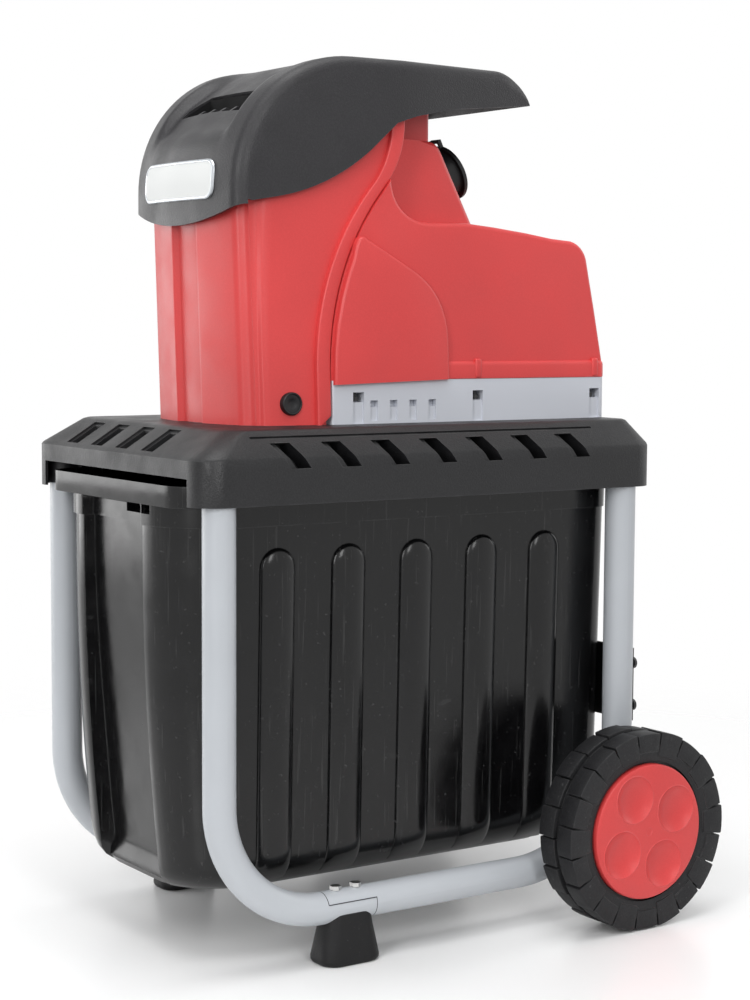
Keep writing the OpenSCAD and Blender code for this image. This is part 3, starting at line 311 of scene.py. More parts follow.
def bevel(bm, edges, width, segments=3):
    return bmesh.ops.bevel(bm, geom=edges, offset=width, offset_type="OFFSET", segments=segments,
                           profile=0.5, affect="EDGES", clamp_overlap=True, material=-1)


def slab(bm, outline, x0, x1):
    """An outline given in Y and Z, extruded along X"""
    face = bm.faces.new([bm.verts.new((x0, y, z)) for y, z in outline])
    grown = bmesh.ops.extrude_face_region(bm, geom=[face])["geom"]
    verts = [g for g in grown if isinstance(g, bmesh.types.BMVert)]
    bmesh.ops.translate(bm, verts=verts, vec=(x1 - x0, 0, 0))


def loft(bm, rows, closed=False, cap_start=False, cap_end=False):
    """A chain of edges extruded from row to row"""
    verts = [bm.verts.new(p) for p in rows[0]]
    count = len(verts)
    links = count if closed else count - 1
    for i in range(links):
        bm.edges.new((verts[i], verts[(i + 1) % count]))
    if cap_start:
        bm.faces.new(verts)
    for row in rows[1:]:
        edges = [bm.edges.get((verts[i], verts[(i + 1) % count])) for i in range(links)]
        grown = bmesh.ops.extrude_edge_only(bm, edges=edges)["geom"]
        fresh = {g for g in grown if isinstance(g, bmesh.types.BMVert)}
        verts = [next(e.other_vert(v) for e in v.link_edges if e.other_vert(v) in fresh) for v in verts]
        for v, p in zip(verts, row):
            v.co = p
    if cap_end:
        bm.faces.new(verts)
    bm.normal_update()


def block(bm, low, high, r=0.0, segments=2):
    """A box between two corners with rounded edges"""
    size = Vector(high) - Vector(low)
    middle = (Vector(high) + Vector(low)) / 2
    form = Matrix.Translation(middle) @ Matrix.Diagonal((*size, 1))
    made = bmesh.ops.create_cube(bm, size=1, matrix=form)
    if r:
        edges = list({e for v in made["verts"] for e in v.link_edges})
        bevel(bm, edges, r, segments)


def cut(bm, faces, co, no):
    """Cuts some faces along a plane"""
    parts = list({g for f in faces for g in (*f.verts, *f.edges, f)})
    bmesh.ops.bisect_plane(bm, geom=parts, dist=0.0001, plane_co=co, plane_no=no)


def indent(bm, pick, planes, inside, move):
    """Cuts a patch out of the picked faces and pushes it in by what move gives for each point"""
    for co, no in planes:
        cut(bm, faces_where(bm, pick), co, no)
    patch = [f for f in faces_where(bm, pick) if inside(f.calc_center_median())]
    grown = bmesh.ops.extrude_face_region(bm, geom=patch)["geom"]
    bmesh.ops.delete(bm, geom=patch, context="FACES")
    for v in [g for g in grown if isinstance(g, bmesh.types.BMVert)]:
        v.co += Vector(move(v.co))
    bm.normal_update()


def spun(bm, profile, steps):
    """A profile of places along X and radii, turned around the X axis"""
    verts = [bm.verts.new((x, 0, r)) for x, r in profile]
    edges = [bm.edges.new(pair) for pair in zip(verts, verts[1:])]
    bmesh.ops.spin(bm, geom=verts + edges, cent=(0, 0, 0), axis=(1, 0, 0), angle=2 * math.pi, steps=steps,
                   use_merge=True)
    bmesh.ops.recalc_face_normals(bm, faces=bm.faces[:])


def mirror_x(bm):
    """The same shape on the other side of the machine"""
    made = bmesh.ops.duplicate(bm, geom=bm.verts[:] + bm.edges[:] + bm.faces[:])["geom"]
    verts = [g for g in made if isinstance(g, bmesh.types.BMVert)]
    faces = [g for g in made if isinstance(g, bmesh.types.BMFace)]
    bmesh.ops.scale(bm, verts=verts, vec=(-1, 1, 1))
    bmesh.ops.reverse_faces(bm, faces=faces)


def shaded_object(name, bm, surface, sharp):
    """An object with soft shading, kept sharp at open edges and where faces meet at more than an angle"""
    for f in bm.faces:
        f.smooth = True
    for e in bm.edges:
        e.smooth = e.calc_face_angle(OPEN_EDGE) < math.radians(sharp)
    mesh = bpy.data.meshes.new(name)
    bm.to_mesh(mesh)
    bm.free()
    mesh.materials.append(surface)
    obj = bpy.data.objects.new(name, mesh)
    scene.collection.objects.link(obj)
    return obj


def piece(name, bm, surface, body, replaced=(), deck=True, sharp=38, wall=0.0, weld=True):
    """Makes an object of a shape that was drawn in millimetres, above the deck's top or above the floor"""
    if weld:
        bmesh.ops.remove_doubles(bm, verts=bm.verts[:], dist=0.01)
    bmesh.ops.recalc_face_normals(bm, faces=bm.faces[:])
    bmesh.ops.translate(bm, verts=bm.verts[:], vec=(0, -Y_MID, DECK_TOP if deck else 0))
    bmesh.ops.scale(bm, verts=bm.verts[:], vec=(MM, MM, MM))
    obj = shaded_object(name, bm, surface, sharp)
    if wall:
        shell = obj.modifiers.new("wall", "SOLIDIFY")
        shell.thickness = wall * MM
        shell.offset = -1
        shell.use_quality_normals = True
    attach(obj, body)
    if replaced:
        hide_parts(*replaced)
    return obj


def smooth_copy(node_name, surface, body, sharp=30):
    """A merged copy of a solid with soft shading on its round faces"""
    bm = bmesh.new()
    bm.from_mesh(NODES[node_name].data)
    bmesh.ops.remove_doubles(bm, verts=bm.verts[:], dist=0.00002)
    obj = shaded_object(node_name + "_smooth", bm, surface, sharp)
    even = obj.modifiers.new("even", "WEIGHTED_NORMAL")
    even.keep_sharp = True
    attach(obj, body)
    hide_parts(node_name)
    return obj


# Camera at the photograph's place: its angles in degrees, its lens in millimetres, its place in metres
VIEW_TURN, VIEW_TILT, VIEW_ROLL = 55.862, 4.963, 0.302
SENSOR_WIDTH, LENS_LENGTH = 36, 74.34
CAMERA_PLACE = (1.76297, -1.17737, 0.60616)


def make_camera():
    turn, tilt, roll = math.radians(VIEW_TURN), math.radians(VIEW_TILT), math.radians(VIEW_ROLL)
    ahead = Vector((-math.sin(turn) * math.cos(tilt), math.cos(turn) * math.cos(tilt), -math.sin(tilt)))
    right = Vector((math.cos(turn), math.sin(turn), 0))
    up = right.cross(ahead)
    across = math.cos(roll) * right + math.sin(roll) * up
    upward = math.cos(roll) * up - math.sin(roll) * right
    lens = bpy.data.cameras.new("camera")
    lens.sensor_width = SENSOR_WIDTH
    lens.lens = LENS_LENGTH
    camera = bpy.data.objects.new("camera", lens)
    basis = Matrix((across, upward, -ahead)).transposed().to_4x4()
    camera.matrix_world = Matrix.Translation(CAMERA_PLACE) @ basis
    scene.collection.objects.link(camera)
    scene.camera = camera


make_camera()

# Plain studio: a white backdrop that lights the object less from below, soft boxes and a pale floor
scene.view_settings.view_transform = "Standard"
SKY_Z, SKY_GLOW = (-0.05, 0.75), (0.20, 0.65)
FLOOR_SIZE, FLOOR_FADE = 6, (0.45, 1.5)


def make_backdrop():
    world = bpy.data.worlds.new("studio")
    world.use_nodes = True
    scene.world = world
    sky = world.node_tree
    backdrop = sky.nodes["Background"]
    backdrop.inputs["Color"].default_value = (1, 1, 1, 1)

    def larger(first, second):
        node = sky.nodes.new("ShaderNodeMath")
        node.operation = "MAXIMUM"
        sky.links.new(first, node.inputs[0])
        sky.links.new(second, node.inputs[1])
        return node.outputs[0]

    path = sky.nodes.new("ShaderNodeLightPath").outputs
    shown = larger(larger(path["Is Camera Ray"], path["Is Transmission Ray"]), path["Is Glossy Ray"])
    aim = sky.nodes.new("ShaderNodeSeparateXYZ")
    sky.links.new(sky.nodes.new("ShaderNodeTexCoord").outputs["Generated"], aim.inputs[0])
    glow = sky.nodes.new("ShaderNodeMapRange")
    glow.inputs["From Min"].default_value, glow.inputs["From Max"].default_value = SKY_Z
    glow.inputs["To Min"].default_value, glow.inputs["To Max"].default_value = SKY_GLOW
    sky.links.new(aim.outputs["Z"], glow.inputs["Value"])
    sky.links.new(larger(shown, glow.outputs["Result"]), backdrop.inputs["Strength"])


def soft_box(name, place, aim, size, power):
    lamp = bpy.data.lights.new(name, "AREA")
    lamp.shape = "RECTANGLE"
    lamp.size, lamp.size_y = size
    lamp.energy = power
    obj = bpy.data.objects.new(name, lamp)
    obj.location = place
    obj.rotation_euler = (Vector(aim) - Vector(place)).to_track_quat("-Z", "Y").to_euler()
    scene.collection.objects.link(obj)


def make_floor():
    """A pale floor that fades into the backdrop away from the object"""
    bm = bmesh.new()
    bmesh.ops.create_grid(bm, x_segments=1, y_segments=1, size=FLOOR_SIZE)
    mesh = bpy.data.meshes.new("floor")
    bm.to_mesh(mesh)
    bm.free()
    floor = bpy.data.objects.new("floor", mesh)
    scene.collection.objects.link(floor)
    surface = finish("studio_floor", tone(250, 250, 250), 0.30, 0.02, 60, 0.002, patch_size=2,
                     rough_play=0.02, specular=0.35)
    tree = surface.node_tree
    spread = tree.nodes.new("ShaderNodeVectorMath")
    spread.operation = "LENGTH"
    tree.links.new(tree.nodes.new("ShaderNodeTexCoord").outputs["Object"], spread.inputs[0])
    fade = tree.nodes.new("ShaderNodeMapRange")
    fade.interpolation_type = "SMOOTHSTEP"
    fade.inputs["From Min"].default_value, fade.inputs["From Max"].default_value = FLOOR_FADE
    tree.links.new(spread.outputs["Value"], fade.inputs["Value"])
    blend = tree.nodes.new("ShaderNodeMixShader")
    tree.links.new(fade.outputs["Result"], blend.inputs["Fac"])
    tree.links.new(tree.nodes["Principled BSDF"].outputs["BSDF"], blend.inputs[1])
    tree.links.new(tree.nodes.new("ShaderNodeBsdfTransparent").outputs["BSDF"], blend.inputs[2])
    tree.links.new(blend.outputs["Shader"], tree.nodes["Material Output"].inputs["Surface"])
    mesh.materials.append(surface)


make_backdrop()
soft_box("soft_box_top", (0.3, -0.2, 2.4), (0, 0, 0.4), (1.5, 1.5), 22)
soft_box("soft_box_front", (1.25, -2.1, 1.35), (0, 0, 0.6), (0.5, 1.9), 24)
soft_box("soft_box_right", (2.5, -0.6, 1.7), (0, 0, 0.45), (0.6, 1.4), 20)
soft_box("soft_box_left", (-2.2, -1.55, 0.9), (0, -0.2, 0.5), (2.2, 1.7), 29)
soft_box("soft_box_rear", (0.4, 2.4, 1.3), (0, 0, 0.5), (1.2, 1.2), 8)
make_floor()

# Hood: a front that bows out over its chin, a round brow, a flat top and a tail that overhangs the neck
HOOD_ARC_Y, HOOD_ARC_Z, HOOD_R = -57, 223, 127
HOOD_TOP, HOOD_FRONT_Y = 350, -184
HOOD_TAIL_Y, HOOD_TAIL_R, HOOD_TAIL_END = 123.5, 45, 17
HOOD_FILLET, HOOD_BOW, HOOD_WALL = 11, 10, 3.5
HOOD_FRONT_HALF, HOOD_MID_HALF, HOOD_REAR_HALF, HOOD_REAR_Y = 101, 109, 95, 125
HOOD_SKIN_Z = 240
CHIN_Z, CHIN_R, CHIN_LOW, CHIN_TOP = 189, 300, 190, 211
FEED_HALF, FEED_REAR_HALF, FEED_SLANT, FEED_Y0, FEED_Y1 = 58, 42, 18, -155, -129
TROUGH_DEPTH, TROUGH_HALF, TROUGH_WALLS = 13, 66, (7, 20)
TROUGH_FRONT, TROUGH_REAR, TROUGH_WALL_RUN = (-180, -158), (-132, -58), (-132, -70)
BROW_STEPS, TAIL_STEPS, FLANK_STEPS, FILLET_STEPS, ACROSS_STEPS = 24, 10, 5, 6, 32
TAIL_FILLET_SHARE, FLANK_SWEEP = 0.4, 1.15

# Lower edge of the hood's sides: straight runs, a hollow arc after the second point, a hump after the fourth
EDGE_POINTS = ((HOOD_FRONT_Y, 207), (-150, 213), (-33.4, 267.4), (-20, 280),
               (12.8, 296.5), (60, 306.5), (163, 317))
HOLLOW_Y, HOLLOW_R, HOLLOW_TURN = -180.6, 220, math.radians(8)
HUMP_Y, HUMP_Z, HUMP_R = 20.1, 236.9, 60


def hood_half(y):
    if y < 0:
        return lerp(HOOD_MID_HALF, HOOD_FRONT_HALF, y / HOOD_FRONT_Y)
    return lerp(HOOD_MID_HALF, HOOD_REAR_HALF, y / HOOD_REAR_Y)


def hood_edge_z(y):
    """Height of the hood's lower edge at its sides"""
    for (y0, z0), (y1, z1) in zip(EDGE_POINTS, EDGE_POINTS[1:]):
        if y < y1:
            break
    if y0 == EDGE_POINTS[1][0]:
        return z0 + HOLLOW_R * math.cos(HOLLOW_TURN) - math.sqrt(HOLLOW_R ** 2 - (y - HOLLOW_Y) ** 2)
    if y0 == EDGE_POINTS[3][0]:
        return HUMP_Z + math.sqrt(HUMP_R ** 2 - (y - HUMP_Y) ** 2)
    return lerp(z0, z1, (y - y0) / (y1 - y0))


def hood_bow(x, y):
    """How far the hood's front stands out towards its middle"""
    s = x / hood_half(y)
    return HOOD_BOW * (1 - s * s) * max(0.0, HOOD_ARC_Y - y) / HOOD_R


def hood_front(x, z):
    """The hood's front surface at a height"""
    y = HOOD_FRONT_Y
    if z > HOOD_ARC_Z:
        y = HOOD_ARC_Y - math.sqrt(HOOD_R ** 2 - (z - HOOD_ARC_Z) ** 2)
    return y - hood_bow(x, y)


def trough(x, y):
    """How deep the hood is sunk around the feed opening"""
    along = smooth(*TROUGH_FRONT, y) * (1 - smooth(*TROUGH_REAR, y))
    wall = lerp(*TROUGH_WALLS, smooth(*TROUGH_WALL_RUN, y))
    return TROUGH_DEPTH * along * (1 - smooth(TROUGH_HALF - wall / 2, TROUGH_HALF + wall, abs(x)))


def hood_top(x, y):
    """Height of the hood's upper surface over a place, with the bow taken off by a few rounds"""
    flat = y
    for _ in range(8):
        flat = y + hood_bow(x, flat)
    z = HOOD_ARC_Z + math.sqrt(HOOD_R ** 2 - min(0.0, flat - HOOD_ARC_Y) ** 2)
    return z - trough(x, flat)


def chin(x):
    return CHIN_Z + CHIN_R - math.sqrt(CHIN_R ** 2 - x * x)


def arc_steps(y, r, a0, a1, n):
    """Places along an arc with their angles"""
    angles = [math.radians(lerp(a0, a1, i / n)) for i in range(n + 1)]
    return [(y + r * math.cos(a), a) for a in angles]


def hood_outline():
    """Outline of the hood's top from its chin to its tail, with its outward normals"""
    points = [(HOOD_FRONT_Y, z, -1, 0) for z in (CHIN_LOW, 200, CHIN_TOP)]
    for y, a in arc_steps(HOOD_ARC_Y, HOOD_R, 180, 90, BROW_STEPS):
        points.append((y, HOOD_ARC_Z + HOOD_R * math.sin(a), math.cos(a), math.sin(a)))
    points += [(y, HOOD_TOP, 0, 1) for y in (-30, 0, 35, 70, 100)]
    for y, a in arc_steps(HOOD_TAIL_Y, HOOD_TAIL_R, 90, HOOD_TAIL_END, TAIL_STEPS):
        points.append((y, HOOD_TOP - HOOD_TAIL_R + HOOD_TAIL_R * math.sin(a), math.cos(a), math.sin(a)))
    return points


def hood_row(y, z, ny, nz, edge_y):
    """A row of points over the hood from one lower edge to the other, through a point of its outline"""
    half, r = hood_half(y), HOOD_FILLET
    if y > 0:
        r = min(r, max(1.0, TAIL_FILLET_SHARE * (z - hood_edge_z(y))))
    inner_y, inner_z = y - ny * r, z - nz * r
    edge_z = hood_edge_z(edge_y)
    if z <= CHIN_TOP:
        edge_y, edge_z = inner_y, inner_z
    side = []
    for k in range(FLANK_STEPS + 1):
        share = k / FLANK_STEPS
        flank_y = lerp(edge_y, inner_y, share)
        side.append((hood_half(flank_y), flank_y, lerp(edge_z, inner_z, share)))
    for k in range(1, FILLET_STEPS + 1):
        a = math.radians(90 / FILLET_STEPS * k)
        inset = r * (1 - math.sin(a))
        side.append((half - r + r * math.cos(a), y - ny * inset, z - nz * inset))
    side += [((half - r) * (1 - k / ACROSS_STEPS), y, z) for k in range(1, ACROSS_STEPS + 1)]
    half_row = []
    for px, py, pz in side:
        if z <= CHIN_TOP:
            pz = lerp(min(chin(px), CHIN_TOP - 1), CHIN_TOP, (z - CHIN_LOW) / (CHIN_TOP - CHIN_LOW))
        if pz > HOOD_SKIN_Z:
            pz -= trough(px, py)
        half_row.append((px, py - hood_bow(px, py), pz))
    return half_row + [(-px, py, pz) for px, py, pz in reversed(half_row[:-1])]


def feed_sides():
    """Planes of the six sides of the feed opening, facing outwards"""
    slope = (FEED_HALF - FEED_REAR_HALF) / FEED_SLANT
    sides = [((s * FEED_HALF, 0, 0), (s, 0, 0)) for s in RIGHT_AND_LEFT]
    sides += [((0, FEED_Y0, 0), (0, -1, 0)), ((0, FEED_Y1, 0), (0, 1, 0))]
    sides += [((s * FEED_REAR_HALF, FEED_Y1, 0), (s, slope, 0)) for s in RIGHT_AND_LEFT]
    return [(Vector(co), Vector(no)) for co, no in sides]


def make_hood():
    outline = hood_outline()
    steps = [0.0]
    for (y0, z0, _, _), (y1, z1, _, _) in zip(outline, outline[1:]):
        steps.append(steps[-1] + math.hypot(y1 - y0, z1 - z0))
    chin_end, tail_end = steps[2], steps[-1]
    corner_y, tip_y = HOOD_FRONT_Y + HOOD_FILLET, outline[-1][0] - 1
    rows = []
    for point, step in zip(outline, steps):
        share = max(0.0, (step - chin_end) / (tail_end - chin_end))
        rows.append(hood_row(*point, lerp(corner_y, tip_y, share ** FLANK_SWEEP)))
    bm = bmesh.new()
    loft(bm, rows)
    bmesh.ops.remove_doubles(bm, verts=bm.verts[:], dist=0.05)
    bmesh.ops.dissolve_degenerate(bm, edges=bm.edges[:], dist=0.05)
    sides = feed_sides()
    for co, no in sides:
        cut(bm, faces_where(bm, lambda c, n: c.z > HOOD_SKIN_Z), co, no)
    hole = faces_where(bm, lambda c, n: c.z > HOOD_SKIN_Z and all(no.dot(c - co) < 0 for co, no in sides))
    bmesh.ops.delete(bm, geom=hole, context="FACES")
    piece("hood_shell", bm, HOOD_GREY, "machine", ["hood"], wall=HOOD_WALL, sharp=50)


make_hood()

# Throat of the feed opening down to the cutter, with guide ribs on its front wall
THROAT_Z, THROAT_WALL, THROAT_DROP = 93, 3.0, 3.2
RIB_XS, RIB_HALF, RIB_DROP, RIB_TALL = (-30, -9, 12, 33), 2.2, 1.0, 60
RIB_ROOT, RIB_NOSE, RIB_LENGTH, RIB_NOSE_SHARE = 1, 10, 13, 0.77


def make_throat():
    bm = bmesh.new()
    corners = [(-FEED_HALF, FEED_Y0), (FEED_HALF, FEED_Y0), (FEED_HALF, FEED_Y1 - FEED_SLANT),
               (FEED_REAR_HALF, FEED_Y1), (-FEED_REAR_HALF, FEED_Y1), (-FEED_HALF, FEED_Y1 - FEED_SLANT)]
    lips = [(x, y, hood_top(x, y) - THROAT_DROP) for x, y in corners]
    loft(bm, [at_height(corners, THROAT_Z), lips], closed=True)
    piece("feed_throat", bm, THROAT_BLACK, "machine", ["feed_chute"], wall=-THROAT_WALL)
    bm = bmesh.new()
    root_y, nose_y, end_y = FEED_Y0 - RIB_ROOT, FEED_Y0 + RIB_NOSE, FEED_Y0 + RIB_LENGTH
    for x in RIB_XS:
        rise = hood_top(x, end_y) - hood_top(x, FEED_Y0)
        top = hood_top(x, FEED_Y0) - RIB_DROP
        slab(bm, [(root_y, top - RIB_TALL), (end_y, top - RIB_TALL), (end_y, top + rise - 7),
                  (nose_y, top + rise * RIB_NOSE_SHARE - 3), (root_y, top - 1)], x - RIB_HALF, x + RIB_HALF)
    piece("feed_ribs", bm, HOOD_GREY, "machine")


make_throat()

# Bare badge plate on the hood's front, with a bright border given by its insets and how far they stand proud
BADGE_HALF, BADGE_TALL, BADGE_R, BADGE_Z = 67, 19, 12, 231
FACE_INSET, FACE_PROUD, FACE_WALL, FACE_COLUMNS, FACE_ROWS = 1.2, 1.6, 1.5, 28, 8
BORDER = ((0, 0.2), (0.3, 1.6), (1.2, 2.2), (2.6, 2.1), (3.2, 1.4))


def badge_outline(inset):
    half, tall, r = BADGE_HALF - inset, BADGE_TALL - inset, BADGE_R - inset
    points = []
    for cx, cz, a in ((1, 1, 0), (-1, 1, 90), (-1, -1, 180), (1, -1, 270)):
        points += arc(cx * (half - r), cz * (tall - r), r, a, a + 90, 6)
        if cx == cz:
            points += [(cx * (half - r) * k, cz * tall) for k in (0.6, 0.2, -0.2, -0.6)]
    return points


def on_front(points, proud):
    return [(x, hood_front(x, BADGE_Z + z) - proud, BADGE_Z + z) for x, z in points]


def make_badge():
    bm = bmesh.new()
    rows = []
    end = BADGE_HALF - FACE_INSET
    for i in range(FACE_COLUMNS + 1):
        x = lerp(-end, end, i / FACE_COLUMNS)
        past = max(0.0, abs(x) - (BADGE_HALF - BADGE_R))
        tall = BADGE_TALL - FACE_INSET - BADGE_R + math.sqrt(max(4.0, BADGE_R ** 2 - past ** 2))
        column = [(x, lerp(-tall, tall, k / FACE_ROWS)) for k in range(FACE_ROWS + 1)]
        rows.append(on_front(column, FACE_PROUD))
    loft(bm, rows)
    piece("badge_face", bm, BADGE_WHITE, "machine", ["badge_plate"], wall=FACE_WALL)
    bm = bmesh.new()
    loft(bm, [on_front(badge_outline(inset), proud) for inset, proud in BORDER], closed=True)
    piece("badge_border", bm, BADGE_EDGE, "machine")


make_badge()

# Hopper: a front shell with a sunk middle panel, soft corner grooves and a flange along its rear edge
HOPPER_TOP, HOPPER_LINE_Z, HOPPER_FRONT_TOP, HOPPER_EDGE_Z, UNDER_HOOD = 300, 293, 224, 250, 12
HOPPER_WALL, HOPPER_ROWS, FLANGE_ROWS, REAR_WALL_ROWS = 3.0, 18, 36, 12
FLANGE_FOOT_Y, FLANGE_FOOT_Z, FLANGE_TURN_Y, FLANGE_TURN_Z = -87.0, 53, -20.0, 227.6
FLANGE_R1, FLANGE_R2, FLANGE_TURN, FLANGE_EDGE_R = 261, 97, math.radians(42), 1.6
FLANGE_IN, FLANGE_OUT, FLANGE_LENGTH, FLANGE_SHORT, FLANGE_CURL = 4, 5.2, 16, 0.8, 10
REAR_WALL_Z, REAR_WALL_IN, REAR_WALL_AHEAD, REAR_WALL = (196, 298), 1, 9, 3

# Widths and depths of the hopper at its foot and at its top line
SIDE_X, CORNER_X, CORNER_Y, FRONT_Y = (109, 96), (95, 93), (-163, -174), (-180, -190)
FRONT_STEPS = (0, 0.10, 0.18, 0.20, 0.215, 0.245, 0.26, 0.28, 0.34, 0.45, 0.58, 0.70, 0.79, 0.85, 0.89, 0.93,
               0.965, 1.0)
SIDE_STEPS = (0.04, 0.08, 0.12, 0.16, 0.24, 0.36, 0.5, 0.64, 0.78, 0.9, 1.0)
PANEL_DEPTH, PANEL_EDGE, FRONT_ROUND = 6.0, (0.205, 0.255), 1.8
GROOVE_IN, GROOVE_BACK, GROOVE_FRONT, GROOVE_SIDE = 3.6, 4.8, (0.85, 0.96), (0.04, 0.16)
SIDE_BULGE, SIDE_END = 6, 4


def flange_y(z):
    """Where the flange's rear edge lies at a height above the deck"""
    if z <= FLANGE_FOOT_Z:
        return FLANGE_FOOT_Y
    if z <= FLANGE_TURN_Z:
        return FLANGE_FOOT_Y + FLANGE_R1 - math.sqrt(FLANGE_R1 ** 2 - (z - FLANGE_FOOT_Z) ** 2)
    centre_y = FLANGE_TURN_Y - FLANGE_R2 * math.cos(FLANGE_TURN)
    centre_z = FLANGE_TURN_Z + FLANGE_R2 * math.sin(FLANGE_TURN)
    return centre_y + math.sqrt(max(0.0, FLANGE_R2 ** 2 - (z - centre_z) ** 2))


def hopper_side_x(z):
    return lerp(*SIDE_X, z / HOPPER_LINE_Z)


def hopper_point(station, z):
    """A place on the hopper's right half, counted from the middle of its front to its flange"""
    t = z / HOPPER_LINE_Z
    corner_x, corner_y = lerp(*CORNER_X, t), lerp(*CORNER_Y, t)
    if station < len(FRONT_STEPS):
        f = FRONT_STEPS[station]
        x = corner_x * f
        y = lerp(lerp(*FRONT_Y, t), corner_y, f ** FRONT_ROUND)
        y += PANEL_DEPTH * (1 - smooth(*PANEL_EDGE, f))
        groove = smooth(*GROOVE_FRONT, f)
    else:
        g = SIDE_STEPS[station - len(FRONT_STEPS)]
        x = lerp(corner_x, hopper_side_x(z), g) + SIDE_BULGE * g * (1 - g)
        y = lerp(corner_y, flange_y(z) - SIDE_END, g)
        groove = 1 - smooth(*GROOVE_SIDE, g)
    return x - GROOVE_IN * groove, y + GROOVE_BACK * groove


def make_hopper_front():
    stations = list(range(len(FRONT_STEPS) + len(SIDE_STEPS)))
    heights = []
    for s in stations:
        under = hood_edge_z(hopper_point(s, HOPPER_EDGE_Z)[1]) + UNDER_HOOD
        heights.append(min(HOPPER_TOP, max(HOPPER_FRONT_TOP, under)))
    heights[-1] = HOPPER_TOP
    rows = []
    for i in range(HOPPER_ROWS + 1):
        t = i / HOPPER_ROWS
        half = [(*hopper_point(s, t * heights[s]), t * heights[s]) for s in stations]
        rows.append([(-x, y, z) for x, y, z in reversed(half[1:])] + half)
    bm = bmesh.new()
    loft(bm, rows)
    piece("hopper_front", bm, RED, "machine", ["hopper_shell"], wall=HOPPER_WALL, sharp=50)


def make_hopper_flange():
    bm = bmesh.new()
    rows = []
    for i in range(FLANGE_ROWS + 1):
        z = HOPPER_TOP * i / FLANGE_ROWS
        inner, outer = hopper_side_x(z) - FLANGE_IN, hopper_side_x(z) + FLANGE_OUT
        curl = FLANGE_CURL - math.sqrt(max(0.0, FLANGE_CURL ** 2 - (FLANGE_CURL - min(z, FLANGE_CURL)) ** 2))
        front, rear = flange_y(z) - FLANGE_LENGTH, flange_y(z) - FLANGE_SHORT - curl
        rows.append([(inner, front, z), (outer, front, z), (outer, rear, z), (inner, rear, z)])
    loft(bm, rows, closed=True, cap_start=True, cap_end=True)

    def on_ridge(e):
        upright = abs(e.verts[0].co.z - e.verts[1].co.z) > 1
        return upright and all(v.co.x > hopper_side_x(v.co.z) + 3 for v in e.verts)

    bevel(bm, edges_where(bm, on_ridge), FLANGE_EDGE_R, 3)
    mirror_x(bm)
    piece("hopper_flange", bm, RED, "machine")


def make_hopper_rear_wall():
    """A wall between the flanges, under the hood"""
    bm = bmesh.new()
    rows = []
    for i in range(REAR_WALL_ROWS + 1):
        z = lerp(*REAR_WALL_Z, i / REAR_WALL_ROWS)
        x, y = hopper_side_x(z) - REAR_WALL_IN, flange_y(z) - REAR_WALL_AHEAD
        rows.append([(-x, y, z), (x, y, z), (x, y + REAR_WALL, z), (-x, y + REAR_WALL, z)])
    loft(bm, rows, closed=True, cap_start=True, cap_end=True)
    piece("hopper_rear_wall", bm, RED, "machine")


make_hopper_front()
make_hopper_flange()
make_hopper_rear_wall()

# Round plug of the adjuster, low on the hopper's right side: places along X and radii of its profile
PLUG_Y, PLUG_Z, PLUG_STEPS = -127, 20.5, 40
PLUG_PROFILE = [(94, 11), (105.6, 11), (106.5, 10.6), (106.9, 9.8), (106.6, 9.0), (105.7, 8.6), (105.6, 4.6),
                (105.3, 4.2), (105.3, 0.4)]
bm = bmesh.new()
spun(bm, PLUG_PROFILE, PLUG_STEPS)
bmesh.ops.translate(bm, verts=bm.verts[:], vec=(0, PLUG_Y, PLUG_Z))
piece("adjuster_plug", bm, PART_BLACK, "adjuster")

# Motor cover: cheeks that sweep up to the flange, soft shoulders, an arched panel and a ledge above the lip
COVER_HALF, COVER_LEAN, LEAN_Z, LEAN_TALL, SHOULDER_R = 110.5, 3.0, 59, 140, 11
CHEEK_ZS = (42, 53, 70, 90, 110, 130, 150, 170, 190, 210, 224)
COVE = [(-14.2, 236), (-13.4, 228), (-11.2, 220), (-7.5, 213), (-2.3, 206.7), (5, 201), (14, 197),
        (24, 195.2), (42, 195)]
REAR_SLOPE = [(75, 196), (110, 193), (150, 188.5), (185, 183.5)]
REAR_CORNER = arc(205, 156, 26, 80, 6, 7)
REAR_FACE = [(241, 110), (249.5, 66), (249.5, 42)]


def cover_lean(z):
    """How far the cover's sides lean in at a height"""
    return COVER_LEAN * max(0.0, z - LEAN_Z) / LEAN_TALL


def make_cover():
    cheek = [(flange_y(z), z) for z in CHEEK_ZS]
    outline = cheek + COVE + REAR_SLOPE + REAR_CORNER + REAR_FACE
    bm = bmesh.new()
    slab(bm, outline, -1, 1)
    for v in bm.verts:
        v.co.x *= COVER_HALF - cover_lean(v.co.z)
    rounded = {(round(y, 3), round(z, 3)) for y, z in outline[len(cheek):-1]}

    def on_shoulder(e):
        return on_one_side(e) and all((round(v.co.y, 3), round(v.co.z, 3)) in rounded for v in e.verts)

    bevel(bm, edges_where(bm, on_shoulder), SHOULDER_R, 5)
    piece("motor_cover_body", bm, RED, "machine", ["motor_cover"])


make_cover()

# Lip under the motor cover: heights, insets and rear radii of its rounded ledge, and a column over each screw
LIP_HALF, LIP_Y0, LIP_Y1, LIP_FRONT_R, LIP_WALL = 112.6, -85, 253.6, 2, 2.0
LIP_ROWS = ((42.5, 0, 9), (55, 0, 9), (57.2, 0.4, 9), (58.8, 1.4, 8.5), (59.8, 3.1, 8), (60.2, 5.6, 7))
SCREW_YS = (-56, 87, 238)
COLUMN_X, COLUMN_Z, COLUMN_HALF, COLUMN_R = (108, 113.8), (42.8, 62), 4, 2.0


